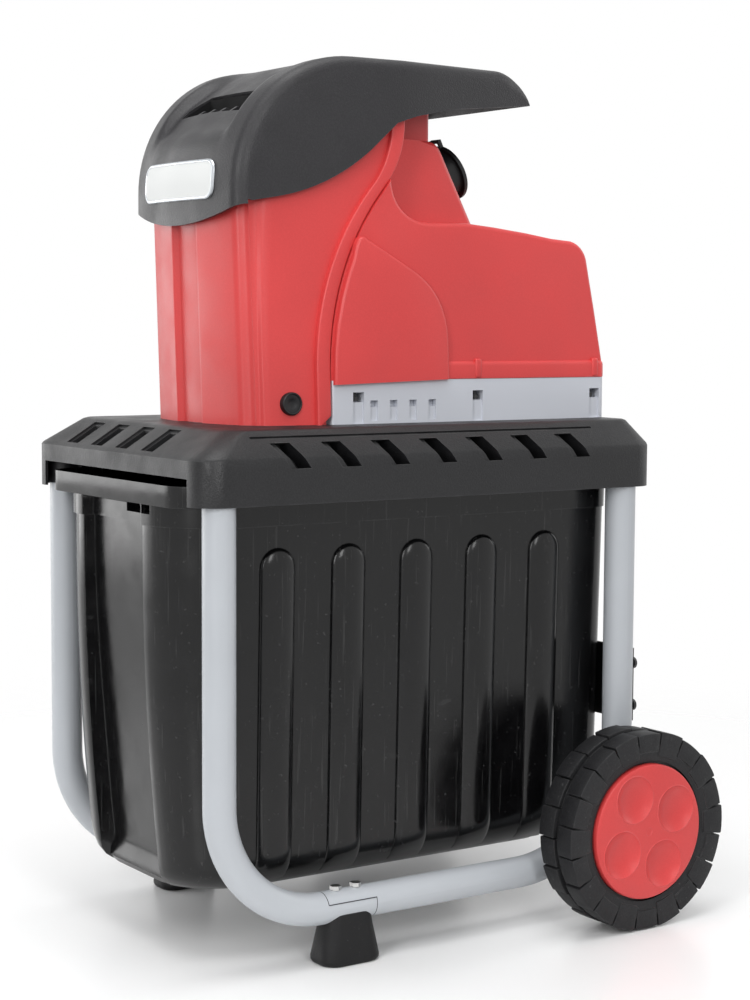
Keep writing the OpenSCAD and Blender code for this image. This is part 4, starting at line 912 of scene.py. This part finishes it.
def make_lip():
    bm = bmesh.new()
    rows = []
    for z, inset, rear_r in LIP_ROWS:
        rows.append(at_height(rounded_plan(LIP_HALF - inset, LIP_Y0, LIP_Y1 - inset, LIP_FRONT_R, rear_r), z))
    loft(bm, rows, closed=True)
    piece("motor_cover_lip", bm, RED, "machine", wall=LIP_WALL)
    bm = bmesh.new()
    for y in SCREW_YS:
        low, high = (COLUMN_X[0], y - COLUMN_HALF, COLUMN_Z[0]), (COLUMN_X[1], y + COLUMN_HALF, COLUMN_Z[1])
        block(bm, low, high, COLUMN_R, 3)
    mirror_x(bm)
    piece("cover_screw_columns", bm, RED, "machine")


make_lip()

# Arched panel on each side of the cover
ARCH_X0, ARCH_X1, ARCH_R, ARCH_FOOT_Z, ARCH_BEHIND_FLANGE = 106, 116.2, 3.0, 44, 2
ARCH = [(flange_y(z) + ARCH_BEHIND_FLANGE, z) for z in (38, 70, 95, 120, 140, 158)]
ARCH += curve((-60, 170), (-57, 181), (-50, 179), 4)
ARCH += curve((8, 147.5), (46, 126), (48.5, 80), 8) + [(49.5, 42)]


def make_arches():
    bm = bmesh.new()
    slab(bm, ARCH, ARCH_X0, ARCH_X1)

    def on_rim(e):
        return all(v.co.x > ARCH_X1 - ARCH_R for v in e.verts) and any(v.co.z > ARCH_FOOT_Z for v in e.verts)

    rim = edges_where(bm, on_rim)
    for v in bm.verts:
        v.co.x -= cover_lean(v.co.z)
    bevel(bm, rim, ARCH_R, 3)
    mirror_x(bm)
    piece("cover_side_panels", bm, RED, "machine")


make_arches()

# Neck that carries the hood; its rear face stands further back than that of the solid
NECK_TILT, NECK_BACK = math.radians(26), 8.5
NECK_Y, NECK_Z0, NECK_Z1 = 94 + NECK_BACK, 193, 277
NECK_FRONT_Y, NECK_REAR_Y, NECK_FOOT_Z, NECK_FOOT_OUT, NECK_HALVES, NECK_R = -40, 20, 170, 4, (85, 78), 7
NECK_BLOCK_HALF, NECK_BLOCK_Y0, NECK_BLOCK_Z, NECK_BLOCK_R = 68, -28, (268, 332), 5


def make_neck():
    top_y = NECK_Y - (NECK_Z1 - NECK_Z0) * math.tan(NECK_TILT)
    outline = [(NECK_FRONT_Y, NECK_FOOT_Z), (NECK_FRONT_Y, NECK_Z1), (top_y - 9, NECK_Z1),
               (top_y - 3, NECK_Z1 - 1.5), (top_y + 1.5, NECK_Z1 - 5), (top_y + 5, NECK_Z1 - 10),
               (NECK_Y, NECK_Z0), (NECK_Y + NECK_FOOT_OUT, 180), (NECK_Y + NECK_FOOT_OUT, NECK_FOOT_Z)]
    bm = bmesh.new()
    slab(bm, outline, -1, 1)
    for v in bm.verts:
        v.co.x *= lerp(*NECK_HALVES, smooth(NECK_FOOT_Z, NECK_Z1, v.co.z))
    rear_edges = edges_where(bm, lambda e: on_one_side(e) and all(v.co.y > NECK_REAR_Y for v in e.verts))
    bevel(bm, rear_edges, NECK_R, 4)
    piece("neck", bm, RED, "machine")
    bm = bmesh.new()
    low = (-NECK_BLOCK_HALF, NECK_BLOCK_Y0, NECK_BLOCK_Z[0])
    block(bm, low, (NECK_BLOCK_HALF, top_y - 4, NECK_BLOCK_Z[1]), NECK_BLOCK_R, 3)
    piece("neck_block", bm, RED, "machine")


make_neck()

# Inlet and switches, carried out along the normal of the neck's rear face; the inlet stands a little prouder
INLET_PROUD = 2
CARRIED = (
    ("inlet_collar", PART_BLACK, "machine", "black_plastic", INLET_PROUD),
    ("inlet_pins", STEEL, "machine", "steel", INLET_PROUD),
    ("switch_panel", PART_BLACK, "machine", "black_plastic", 0),
    ("start_button", GREEN, "start", "green_plastic", 0),
    ("stop_button", STOP_RED, "stop", "stop_plastic", 0),
    ("reset_button", PART_BLACK, "reset", "black_plastic", 0),
    ("direction_knob", PART_BLACK, "direction", "black_plastic", 0),
)
outward = Vector((0, math.cos(NECK_TILT), math.sin(NECK_TILT))) * MM
for node_name, surface, body, slot, proud in CARRIED:
    carried = smooth_copy(node_name, surface, body)
    for v in carried.data.vertices:
        v.co += outward * (NECK_BACK * math.cos(NECK_TILT) + proud)

# Pale base under the cover, with screw channels and hooded vents on its sides
BASE_HALF, BASE_Y0, BASE_Y1, BASE_TALL, BASE_FRONT_R, BASE_REAR_R = 112, -86, 253, 42, 2, 8
VENT_YS = (-38, -15, 8, 31)

# Half width, lower end, step, upper end, depth of the channel and depth of the pocket
SCREW_POCKET = (6.4, 0.5, 21, 30.5, 2.0, 16)
VENT_POCKET = (4.4, 3, 16, 22.5, 1.8, 4.5)


def pocket(bm, side, y, half, low, step, high, shallow, deep):
    """A shallow channel in a side wall with a deep pocket at its top"""
    face_x = BASE_HALF - 0.1

    def wall(c, n):
        return c.x * side > BASE_HALF - 20 and abs(n.x) > 0.9

    def channel(c):
        return abs(c.y - y) < half and low < c.z < high and c.x * side > face_x

    def head(c):
        return abs(c.y - y) < half and step < c.z < high and BASE_HALF - 7 < c.x * side < face_x

    ends = [plane_y(y - half), plane_y(y + half), plane_z(low), plane_z(high)]
    indent(bm, wall, ends, channel, lambda p: (-side * shallow, 0, 0))
    indent(bm, wall, [plane_z(step)], head, lambda p: (-side * deep, 0, 0))


def make_base():
    bm = bmesh.new()
    plan = rounded_plan(BASE_HALF, BASE_Y0, BASE_Y1, BASE_FRONT_R, BASE_REAR_R)
    loft(bm, [at_height(plan, 0), at_height(plan, BASE_TALL)], closed=True, cap_end=True)
    bmesh.ops.recalc_face_normals(bm, faces=bm.faces[:])
    for side in RIGHT_AND_LEFT:
        for y in SCREW_YS:
            pocket(bm, side, y, *SCREW_POCKET)
        for y in VENT_YS:
            pocket(bm, side, y, *VENT_POCKET)
    piece("base_shell", bm, BASE_GREY, "machine", ["motor_base"])


make_base()

# Deck: skirt and bevel with slanted slots, cut away at the front above the box
DECK_Z, SKIRT_TOP, DECK_WALL = 439, 482, 3.0
DECK_HALF, DECK_Y0, DECK_Y1 = 175.5, -263.5, 270.5
FRONT_GAP_Z, FRONT_GAP_HALF, FRONT_GAP_DEEP = 464, 147, 8
LEG_X, LEG_Y = 157.5, 236.5
SOCKET_R, SOCKET_TALL, SOCKET_Z = 16.5, 37, DECK_Z + 20

# Height, insets at the sides, front and rear, and corner radius of each ring of the deck
DECK_RINGS = ((DECK_Z, 0, 0, 0, 26), (SKIRT_TOP - 1.5, 0, 0, 0, 26), (SKIRT_TOP + 1, 1.2, 2.4, 1.0, 25),
              (DECK_TOP - 1.2, 20.6, 39.6, 16.6, 18), (DECK_TOP, 24, 45, 20, 14))

# Crease along the bevel, and the slanted slots of each side with a ramp and a hole across their slant
CREASE_Z, CREASE_Y = (SKIRT_TOP + 17, SKIRT_TOP + 19), (-206, 194)
CREASE_SINK, RAMP_SINK, HOLE_SINK = Vector((0.8, 0, 1.6)), Vector((2.5, 0, 1.5)), Vector((18, 0, 3))
SLOT_COUNT, SLOT_PITCH, SLOT_MID_Y, SLOT_REACH = 7, 55, -3, 40
SLOT_LOW, SLOT_HIGH = SKIRT_TOP - 10, SKIRT_TOP + 13
SLOT_LEAN = Vector((0, 1, 0.75)).normalized()
SLOT_RAMP, SLOT_HOLE = (-8, 9), (-3, 8.4)

# Limits that pick the faces of the deck's sides and front
SIDE_FACE_X, STRIP_X, RAMP_X, CORNER_CLEAR, FRONT_FACE_HALF, FRONT_FACE_DEEP = 148, 125, 150, 40, 150, 38

# Slots of the front bevel: a shallow bed and a hole in it
FRONT_SLOT_COUNT, FRONT_SLOT_PITCH, FRONT_SLOT_MID = 4, 52, -17
BED_HALF, BED_Y, BED_SINK = 12, (DECK_Y0 + 5, DECK_Y0 + 36), (0, 1.5, -1.6)
HOLE_X, HOLE_Y = (-8, 9), (DECK_Y0 + 8, DECK_Y0 + 34)
HOLE_BACK, HOLE_FRONT_DEPTH, HOLE_REAR_DEPTH = 3, 15, 17


def deck_side(bm, s):
    """The crease and the slots of one side of the deck"""
    def side(c, n):
        clear = DECK_Y0 + CORNER_CLEAR < c.y < DECK_Y1 - CORNER_CLEAR
        return clear and c.x * s > SIDE_FACE_X and n.z < 0.95 and n.x * s > 0.2

    def strip(c, n):
        return c.x * s > STRIP_X and SLOT_LOW - 2 < c.z < SLOT_HIGH + 1 and n.x * s > 0.2

    def sunk(depth):
        return -s * depth.x, 0, -depth.z

    crease = [plane_z(z) for z in CREASE_Z] + [plane_y(y) for y in CREASE_Y]
    indent(bm, side, crease, lambda c: within(c.z, CREASE_Z) and within(c.y, CREASE_Y),
           lambda p: sunk(CREASE_SINK))
    for z in (SLOT_LOW, SLOT_HIGH):
        cut(bm, faces_where(bm, side), *plane_z(z))
    for i in range(SLOT_COUNT):
        middle = Vector((0, SLOT_MID_Y + (i - (SLOT_COUNT - 1) / 2) * SLOT_PITCH, SKIRT_TOP))

        def in_slot(c, span):
            return within(SLOT_LEAN.dot(c - middle), span) and abs(c.y - middle.y) < SLOT_REACH

        def on_ramp(c):
            return in_slot(c, SLOT_RAMP) and SLOT_LOW < c.z < SLOT_HIGH and c.x * s > RAMP_X

        def on_hole(c):
            return in_slot(c, SLOT_HOLE) and SLOT_LOW - 2 < c.z < SLOT_HIGH

        ramp = [(middle + t * SLOT_LEAN, SLOT_LEAN) for t in SLOT_RAMP]
        hole = [(middle + t * SLOT_LEAN, SLOT_LEAN) for t in SLOT_HOLE]
        indent(bm, strip, ramp, on_ramp, lambda p: sunk(RAMP_SINK))
        indent(bm, strip, hole, on_hole, lambda p: sunk(HOLE_SINK))


def deck_front_gap(bm):
    """Takes the skirt away at the front, so that the box can slide out"""
    front_y = DECK_Y0 + FRONT_GAP_DEEP
    for co, no in (plane_x(FRONT_GAP_HALF), plane_x(-FRONT_GAP_HALF), plane_z(FRONT_GAP_Z)):
        cut(bm, faces_where(bm, lambda c, n: c.y < front_y and n.y < -0.7), co, no)
    gap = faces_where(bm, lambda c, n: c.y < front_y and abs(c.x) < FRONT_GAP_HALF and c.z < FRONT_GAP_Z)
    bmesh.ops.delete(bm, geom=gap, context="FACES")


def deck_front_slots(bm):
    def slope(c, n):
        return c.y < DECK_Y0 + FRONT_FACE_DEEP and abs(c.x) < FRONT_FACE_HALF and n.z > 0.3 and n.y < -0.2

    for y in BED_Y:
        cut(bm, faces_where(bm, slope), *plane_y(y))
    for i in range(FRONT_SLOT_COUNT):
        x = FRONT_SLOT_MID + (i - (FRONT_SLOT_COUNT - 1) / 2) * FRONT_SLOT_PITCH

        def bed(c, n):
            return c.y < DECK_Y0 + 40 and n.z > 0.3 and n.y < -0.2 and abs(c.x - x) < BED_HALF + 0.5

        hole = [plane_x(x + side) for side in HOLE_X] + [plane_y(y) for y in HOLE_Y]
        indent(bm, slope, [plane_x(x - BED_HALF), plane_x(x + BED_HALF)],
               lambda c: abs(c.x - x) < BED_HALF and within(c.y, BED_Y), lambda p: BED_SINK)
        indent(bm, bed, hole, lambda c: within(c.x - x, HOLE_X) and within(c.y, HOLE_Y),
               lambda p: (0, HOLE_BACK, -HOLE_FRONT_DEPTH if p.y < DECK_Y0 + 20 else -HOLE_REAR_DEPTH))


def make_deck():
    bm = bmesh.new()
    rows = []
    for z, side, front, rear, r in DECK_RINGS:
        rows.append(at_height(rounded_plan(DECK_HALF - side, DECK_Y0 + front, DECK_Y1 - rear, r, r), z))
    loft(bm, rows, closed=True, cap_end=True)
    bmesh.ops.recalc_face_normals(bm, faces=bm.faces[:])
    for s in RIGHT_AND_LEFT:
        deck_side(bm, s)
    deck_front_gap(bm)
    deck_front_slots(bm)
    for x in (-LEG_X, LEG_X):
        for y in (-LEG_Y, LEG_Y):
            bmesh.ops.create_cone(bm, cap_ends=True, segments=32, radius1=SOCKET_R, radius2=SOCKET_R,
                                  depth=SOCKET_TALL, matrix=Matrix.Translation((x, y, SOCKET_Z)))
    piece("deck_shell", bm, DECK_BLACK, "machine", ["deck"], deck=False, wall=DECK_WALL)


make_deck()

# Collection box: a bowed front with a grip recess, a ledge and a rim, and ridges on its sides
BOX_Y0, BOX_Y1, BOX_Z, BOX_TOP, BOX_WALL = -258, 246, 66, 456, 3.0
LEDGE_Z, LEDGE_SIDE, LEDGE_FRONT = 416, 2.4, 1.8
RIM_Z, RIM_HALF, RIM_FRONT, RIM_R = 436, 140.5, 9, 30
BOX_HALVES, BOX_TUCK_Z, BOX_TUCK_R = (126, 135), 106, 40
FRONT_OUT, FRONT_BEND, BEND_Z = 5.5, 24, 90
BOW, BOW_TALL, BOW_POWER = 15.5, 310, 2.2
FOOT_Y1, FOOT_LEAN, STEP_Z, REAR_BEND, REAR_LEAN, REAR_TALL = 194.5, 4, 114, 24, 2, 340
FRONT_RADII, REAR_R, CORNER_SPARE, CORNER_STEPS = (64, 74), 25, 4, 12
RECESS_HALF, RECESS_TOP_DEPTH, RECESS_LOW_DEPTH = 59.5, 11.5, 16.5
RECESS_FOOT, RECESS_CHANGE, RECESS_HEAD = (65, 96), (170, 400), (RIM_Z - 3, RIM_Z - 0.2)

# Wall of the recess: places across it and shares of the depth there
RECESS_WALL, RECESS_EDGE = ((-1.2, 0.94), (0, 0.5), (1.0, 0.06)), RECESS_HALF + 3

# Heights of the rings of the box, close together where its walls bend
BOX_HEIGHTS = (BOX_Z, 67, 70, 75, 82, BEND_Z, 98, BOX_TUCK_Z, STEP_Z - 0.1, STEP_Z + 0.1, 116, 120, 126, 133,
               140, 155, 170, 190, 210, 230, 250, 270, 290, 310, 330, 350, 370, 400, LEDGE_Z - 0.1,
               LEDGE_Z + 0.1, 424, 430, 433, 434.5, RIM_Z - 0.2, RIM_Z, 454.8, BOX_TOP)

# Notches under the rim at the front: both ends along X and the lower edge
RIM_NOTCHES, NOTCH_DEPTH = ((12, 56, 425), (63, 77, 427)), 14

# Ridges on the sides of the box
RIDGE_COUNT, RIDGE_PITCH, RIDGE_MID_Y, RIDGE_ROOT = 5, 79, -2, 0.4
RIDGE_STEPS, RIDGE_HEAD_ROUND = 8, 0.7
RIDGE_FOOT, RIDGE_FULL_Z, RIDGE_TOP, RIDGE_HALF, RIDGE_PROUD = 72, 112, 376, 19.5, 8.0


def rounded_off(r, past):
    """How far a round corner falls back at a place past its start"""
    return r - math.sqrt(max(0.0, r * r - past * past))


def box_half(z):
    if z >= RIM_Z:
        return RIM_HALF
    side = lerp(*BOX_HALVES, (z - BOX_Z) / (BOX_TOP - BOX_Z)) + (LEDGE_SIDE if z > LEDGE_Z else 0)
    return side - rounded_off(BOX_TUCK_R, max(0.0, BOX_TUCK_Z - z))


def box_front(z):
    if z >= RIM_Z:
        return BOX_Y0 - RIM_FRONT
    bow = BOW * (1 - min(1.0, max(0.0, (z - BEND_Z) / BOW_TALL))) ** BOW_POWER
    ledge = LEDGE_FRONT if z > LEDGE_Z else 0
    return BOX_Y0 - FRONT_OUT + bow - ledge + rounded_off(FRONT_BEND, max(0.0, BEND_Z - z))


def box_rear(z):
    """The rear wall, with a step over the axle"""
    if z <= STEP_Z:
        lean = FOOT_LEAN * (z - BOX_Z) / (STEP_Z - BOX_Z)
        return FOOT_Y1 + lean - rounded_off(REAR_BEND, max(0.0, BEND_Z - z))
    lean = REAR_LEAN * (1 - (z - STEP_Z) / REAR_TALL)
    return BOX_Y1 - lean - rounded_off(REAR_BEND, max(0.0, STEP_Z + REAR_BEND - z))


def recess_depth(z):
    deep = lerp(RECESS_LOW_DEPTH, RECESS_TOP_DEPTH, smooth(*RECESS_CHANGE, z))
    return deep * (1 - smooth(*RECESS_HEAD, z)) * smooth(*RECESS_FOOT, z)


def box_outline(z):
    """Outline of the box at a height, from the middle of its front round its right side and back"""
    half, y0, y1, deep = box_half(z), box_front(z), box_rear(z), recess_depth(z)
    in_rim = z >= RIM_Z
    r = RIM_R
    if not in_rim:
        r = min(lerp(*FRONT_RADII, max(0.0, z - BEND_Z) / (BOX_TOP - BEND_Z)), half - CORNER_SPARE)

    def front_y(x):
        return y0 + rounded_off(r, max(0.0, x - (half - r)))

    w = RECESS_HALF
    right = [(x, front_y(x) + deep) for x in (0, 22, 44, w - 7, w - 2.8)]
    right += [(w + past, front_y(w) + deep * share) for past, share in RECESS_WALL]
    if not in_rim:
        right.append((RECESS_EDGE, front_y(RECESS_EDGE)))
    start = math.asin(max(0.0, (RECESS_EDGE - (half - r)) / r))
    for k in range(0 if in_rim else 1, CORNER_STEPS + 1):
        a = lerp(start, math.pi / 2, k / CORNER_STEPS)
        right.append((half - r + r * math.sin(a), y0 + r - r * math.cos(a)))
    right += [(half, lerp(y0 + r, y1 - REAR_R, k / 6)) for k in range(1, 6)]
    right += arc(half - REAR_R, y1 - REAR_R, REAR_R, 0, 90, 7)
    right += [(half * k, y1) for k in (0.5, 0)]
    return right + [(-x, y) for x, y in reversed(right[1:-1])]


def make_box_shell():
    bm = bmesh.new()
    loft(bm, [at_height(box_outline(z), z) for z in BOX_HEIGHTS], closed=True, cap_start=True)
    bmesh.ops.recalc_face_normals(bm, faces=bm.faces[:])

    def on_rim(e):
        level = abs(e.verts[0].co.z - e.verts[1].co.z) < 0.01
        return level and e.verts[0].co.z > RIM_Z - 0.1 and e.calc_face_angle(0) > 0.9

    def front(c, n):
        return c.y < BOX_Y0 + 30 and RIM_Z - 20 < c.z < RIM_Z and n.y < -0.5

    bevel(bm, edges_where(bm, on_rim), 1.0, 2)
    for x0, x1, z0 in RIM_NOTCHES:
        indent(bm, front, [plane_x(x0), plane_x(x1), plane_z(z0)],
               lambda c: x0 < c.x < x1 and z0 < c.z < RIM_Z - 0.3 and c.y < BOX_Y0 + 30,
               lambda p: (0, NOTCH_DEPTH, 0))
    piece("box_shell", bm, BOX_BLACK, "box", ["collection_box"], deck=False, wall=BOX_WALL,
          sharp=32)


def make_box_ridges():
    """Round ridges that fade into the wall at their feet and end in a round head"""
    bm = bmesh.new()
    profile = []
    for k in range(-RIDGE_STEPS, RIDGE_STEPS + 1):
        u = math.sin(k / RIDGE_STEPS * math.pi / 2)
        sunk = 1.0 if abs(k) == RIDGE_STEPS else 0.0
        profile.append((RIDGE_HALF * u, RIDGE_PROUD * math.sqrt(1 - u * u) - sunk))
    rows = []
    for k in range(RIDGE_STEPS + 1):
        z = lerp(RIDGE_FOOT, RIDGE_FULL_Z, k / RIDGE_STEPS)
        rows.append((z, 1.0, smooth(BOX_Z, RIDGE_FULL_Z, z)))
    rows += [(lerp(RIDGE_FULL_Z, RIDGE_TOP, k / 6), 1.0, 1.0) for k in range(1, 7)]
    for k in range(1, RIDGE_STEPS + 1):
        a = math.radians(90 / RIDGE_STEPS * k)
        rows.append((RIDGE_TOP + RIDGE_HALF * math.sin(a), math.cos(a), math.cos(a) ** RIDGE_HEAD_ROUND))
    for i in range(RIDGE_COUNT):
        y = RIDGE_MID_Y + (i - (RIDGE_COUNT - 1) / 2) * RIDGE_PITCH
        points = []
        for z, wide, rise in rows:
            row = []
            for along, out in profile:
                x = box_half(z) - RIDGE_ROOT + out * (rise if out > 0 else 1)
                row.append((x, y + along * wide, z))
            points.append(row)
        loft(bm, points)
    mirror_x(bm)
    piece("box_ridges", bm, BOX_BLACK, "box", deck=False, sharp=60)


make_box_shell()
make_box_ridges()

# Wheels: a tyre carcass with side blocks that wrap onto the tread in two staggered rows
TYRE_BLOCKS, BLOCK_WIDTH, BLOCK_SHARE, BLOCK_EDGE = 20, 22, 0.95, 1.3

# Lower and upper radius of the even and of the odd blocks
BLOCK_RADII = ((80, 98.6), (75, 100))

# Half of the carcass: distance from the wheel's face and radius
TYRE_FLANK = ((3, 70.5), (1.5, 76), (1.2, 86), (4, 91.5), (9, 93.5))
TREAD_R, TYRE_STEPS = 94.5, 96


def sector(bm, x0, x1, r0, r1, turn, wide):
    """A block between two radii, around the X axis"""
    a = [math.radians(turn + wide * k / 4) for k in range(-2, 3)]
    outline = [(r1 * math.sin(t), r1 * math.cos(t)) for t in a]
    outline += [(r0 * math.sin(t), r0 * math.cos(t)) for t in reversed(a)]
    made = bmesh.new()
    slab(made, outline, x0, x1)
    bevel(made, edges_where(made, lambda e: e.calc_face_angle(0) > 0.6), BLOCK_EDGE, 2)
    bmesh.ops.recalc_face_normals(made, faces=made.faces[:])
    mesh = bpy.data.meshes.new("block")
    made.to_mesh(mesh)
    made.free()
    bm.from_mesh(mesh)
    bpy.data.meshes.remove(mesh)


def make_tyre(side, body, node_name):
    bm = bmesh.new()
    profile = [(WHEEL_X0 + inset, r) for inset, r in TYRE_FLANK] + [((WHEEL_X0 + WHEEL_X1) / 2, TREAD_R)]
    profile += [(WHEEL_X1 - inset, r) for inset, r in reversed(TYRE_FLANK)]
    spun(bm, profile, TYRE_STEPS)
    pitch = 360 / TYRE_BLOCKS
    for i in range(TYRE_BLOCKS):
        low, tall = BLOCK_RADII[i % 2]
        sector(bm, WHEEL_X1 - BLOCK_WIDTH, WHEEL_X1, low, tall, i * pitch, pitch * BLOCK_SHARE)
        sector(bm, WHEEL_X0, WHEEL_X0 + BLOCK_WIDTH, low, tall, (i + 0.5) * pitch, pitch * BLOCK_SHARE)
    for v in bm.verts:
        v.co.x *= side
    if side < 0:
        bmesh.ops.reverse_faces(bm, faces=bm.faces[:])
    bmesh.ops.translate(bm, verts=bm.verts[:], vec=(0, AXLE_Y, AXLE_Z))
    piece(node_name + "_treaded", bm, TYRE_BLACK, body, [node_name], deck=False, weld=False)


make_tyre(1, "right_wheel", "right_tyre")
make_tyre(-1, "left_wheel", "left_tyre")

# Hub caps: how far each ring of the cap lies below its face and inside its edge
CAP_R, CAP_X, CAP_STEPS = 68.0, 244.0, 96
CAP_RINGS = ((8.5, 0), (2.2, 0), (1.0, 0.5), (0.3, 1.5), (0, 3))
BOWL_R, BOWL_DEEP, BOWL_TURN, BOWL_PLACE, BOWL_ROUND, BOWL_STEPS = 23.0, 6.8, 29, 0.58, 2.7, 48

# Raised edge of a bowl: how far it stands above the face and outside the bowl
BOWL_EDGE = ((0, 1.4), (0.35, 1.0), (0.35, 0.4))

# Gate mark: how far each ring lies below the face, and its radius
GATE_RINGS = ((0, 4.2), (0.6, 3.8))


def make_cap(side, body, node_name):
    """A flat cap with four round bowls and a small gate mark in its middle"""
    bm = bmesh.new()
    rows = [ring(CAP_X - below, 0, 0, CAP_R - inset, CAP_STEPS) for below, inset in CAP_RINGS]
    loft(bm, rows, closed=True, cap_start=True)
    for i in range(4):
        a = math.radians(BOWL_TURN + 90 * i)
        cy, cz = BOWL_PLACE * CAP_R * math.cos(a), BOWL_PLACE * CAP_R * math.sin(a)
        rows = [ring(CAP_X + above, cy, cz, BOWL_R + out, BOWL_STEPS) for above, out in BOWL_EDGE]
        for k in range(13):
            share = 1 - k / 12.5
            x = CAP_X - 0.3 - BOWL_DEEP * (1 - share ** BOWL_ROUND)
            rows.append(ring(x, cy, cz, BOWL_R * share, BOWL_STEPS))
        loft(bm, rows, closed=True, cap_end=True)
    loft(bm, [ring(CAP_X - below, 0, 0, r, 24) for below, r in GATE_RINGS], closed=True, cap_end=True)
    rim = [e for e in bm.edges if e.is_boundary]
    bmesh.ops.triangle_fill(bm, use_beauty=True, use_dissolve=False, edges=rim, normal=(1, 0, 0))
    for v in bm.verts:
        v.co.x *= side
    bmesh.ops.translate(bm, verts=bm.verts[:], vec=(0, AXLE_Y, AXLE_Z))
    piece(node_name + "_bowls", bm, RED, body, [node_name], deck=False, sharp=30)


make_cap(1, "right_wheel", "right_hub_cap")
make_cap(-1, "left_wheel", "left_hub_cap")

# Feet: tapered rubber blocks with a rounded sole, given by heights and insets
FOOT_HALF, FOOT_LENGTH, FOOT_R, FOOT_Y = 21.5, 32, 15, -99.5
FOOT_ROWS = ((0, 3), (1, 1.2), (3, 0.1), (6, 0), (20, 2.2), (34, 4.4), (44, 5.6), (48, 6.5), (50, 9))
for s, node_name in ((1, "right_foot"), (-1, "left_foot")):
    bm = bmesh.new()
    rows = []
    for z, inset in FOOT_ROWS:
        plan = rounded_plan(FOOT_HALF - inset, inset - FOOT_LENGTH, FOOT_LENGTH - inset, FOOT_R, FOOT_R)
        rows.append([(s * LEG_X + x, FOOT_Y + y, z) for x, y in plan])
    loft(bm, rows, closed=True, cap_start=True, cap_end=True)
    piece(node_name + "_rubber", bm, FOOT_BLACK, "machine", [node_name], deck=False)

# Dark seams of the half lap in each lower rail
RAIL_Z, TUBE_R = 54, 15.5
LAP_Y0, LAP_Y1, LAP_Z = -126.5, -72.5, 60
SEAM_HALF, SEAM_TALL, SEAM_STEPS = 0.7, 0.3, 24
SEAM_RING = ((15, -0.35), (15.6, -0.35), (15.6, 0.35), (15, 0.35))
bm = bmesh.new()
seam_x = math.sqrt(TUBE_R ** 2 - (LAP_Z - RAIL_Z) ** 2)
for x in (LEG_X - seam_x, LEG_X + seam_x):
    block(bm, (x - SEAM_HALF, LAP_Y0, LAP_Z - SEAM_TALL), (x + SEAM_HALF, LAP_Y1, LAP_Z + SEAM_TALL))
low = math.degrees(math.asin((LAP_Z - RAIL_Z) / TUBE_R))
for y, a0, a1 in ((LAP_Y0, low, 180 - low), (LAP_Y1, low, -180 - low)):
    rows = []
    for k in range(SEAM_STEPS + 1):
        a = math.radians(lerp(a0, a1, k / SEAM_STEPS))
        rows.append([(LEG_X + r * math.cos(a), y + d, RAIL_Z + r * math.sin(a)) for r, d in SEAM_RING])
    loft(bm, rows, closed=True, cap_start=True, cap_end=True)
mirror_x(bm)
piece("lap_seams", bm, PART_BLACK, "machine", deck=False)
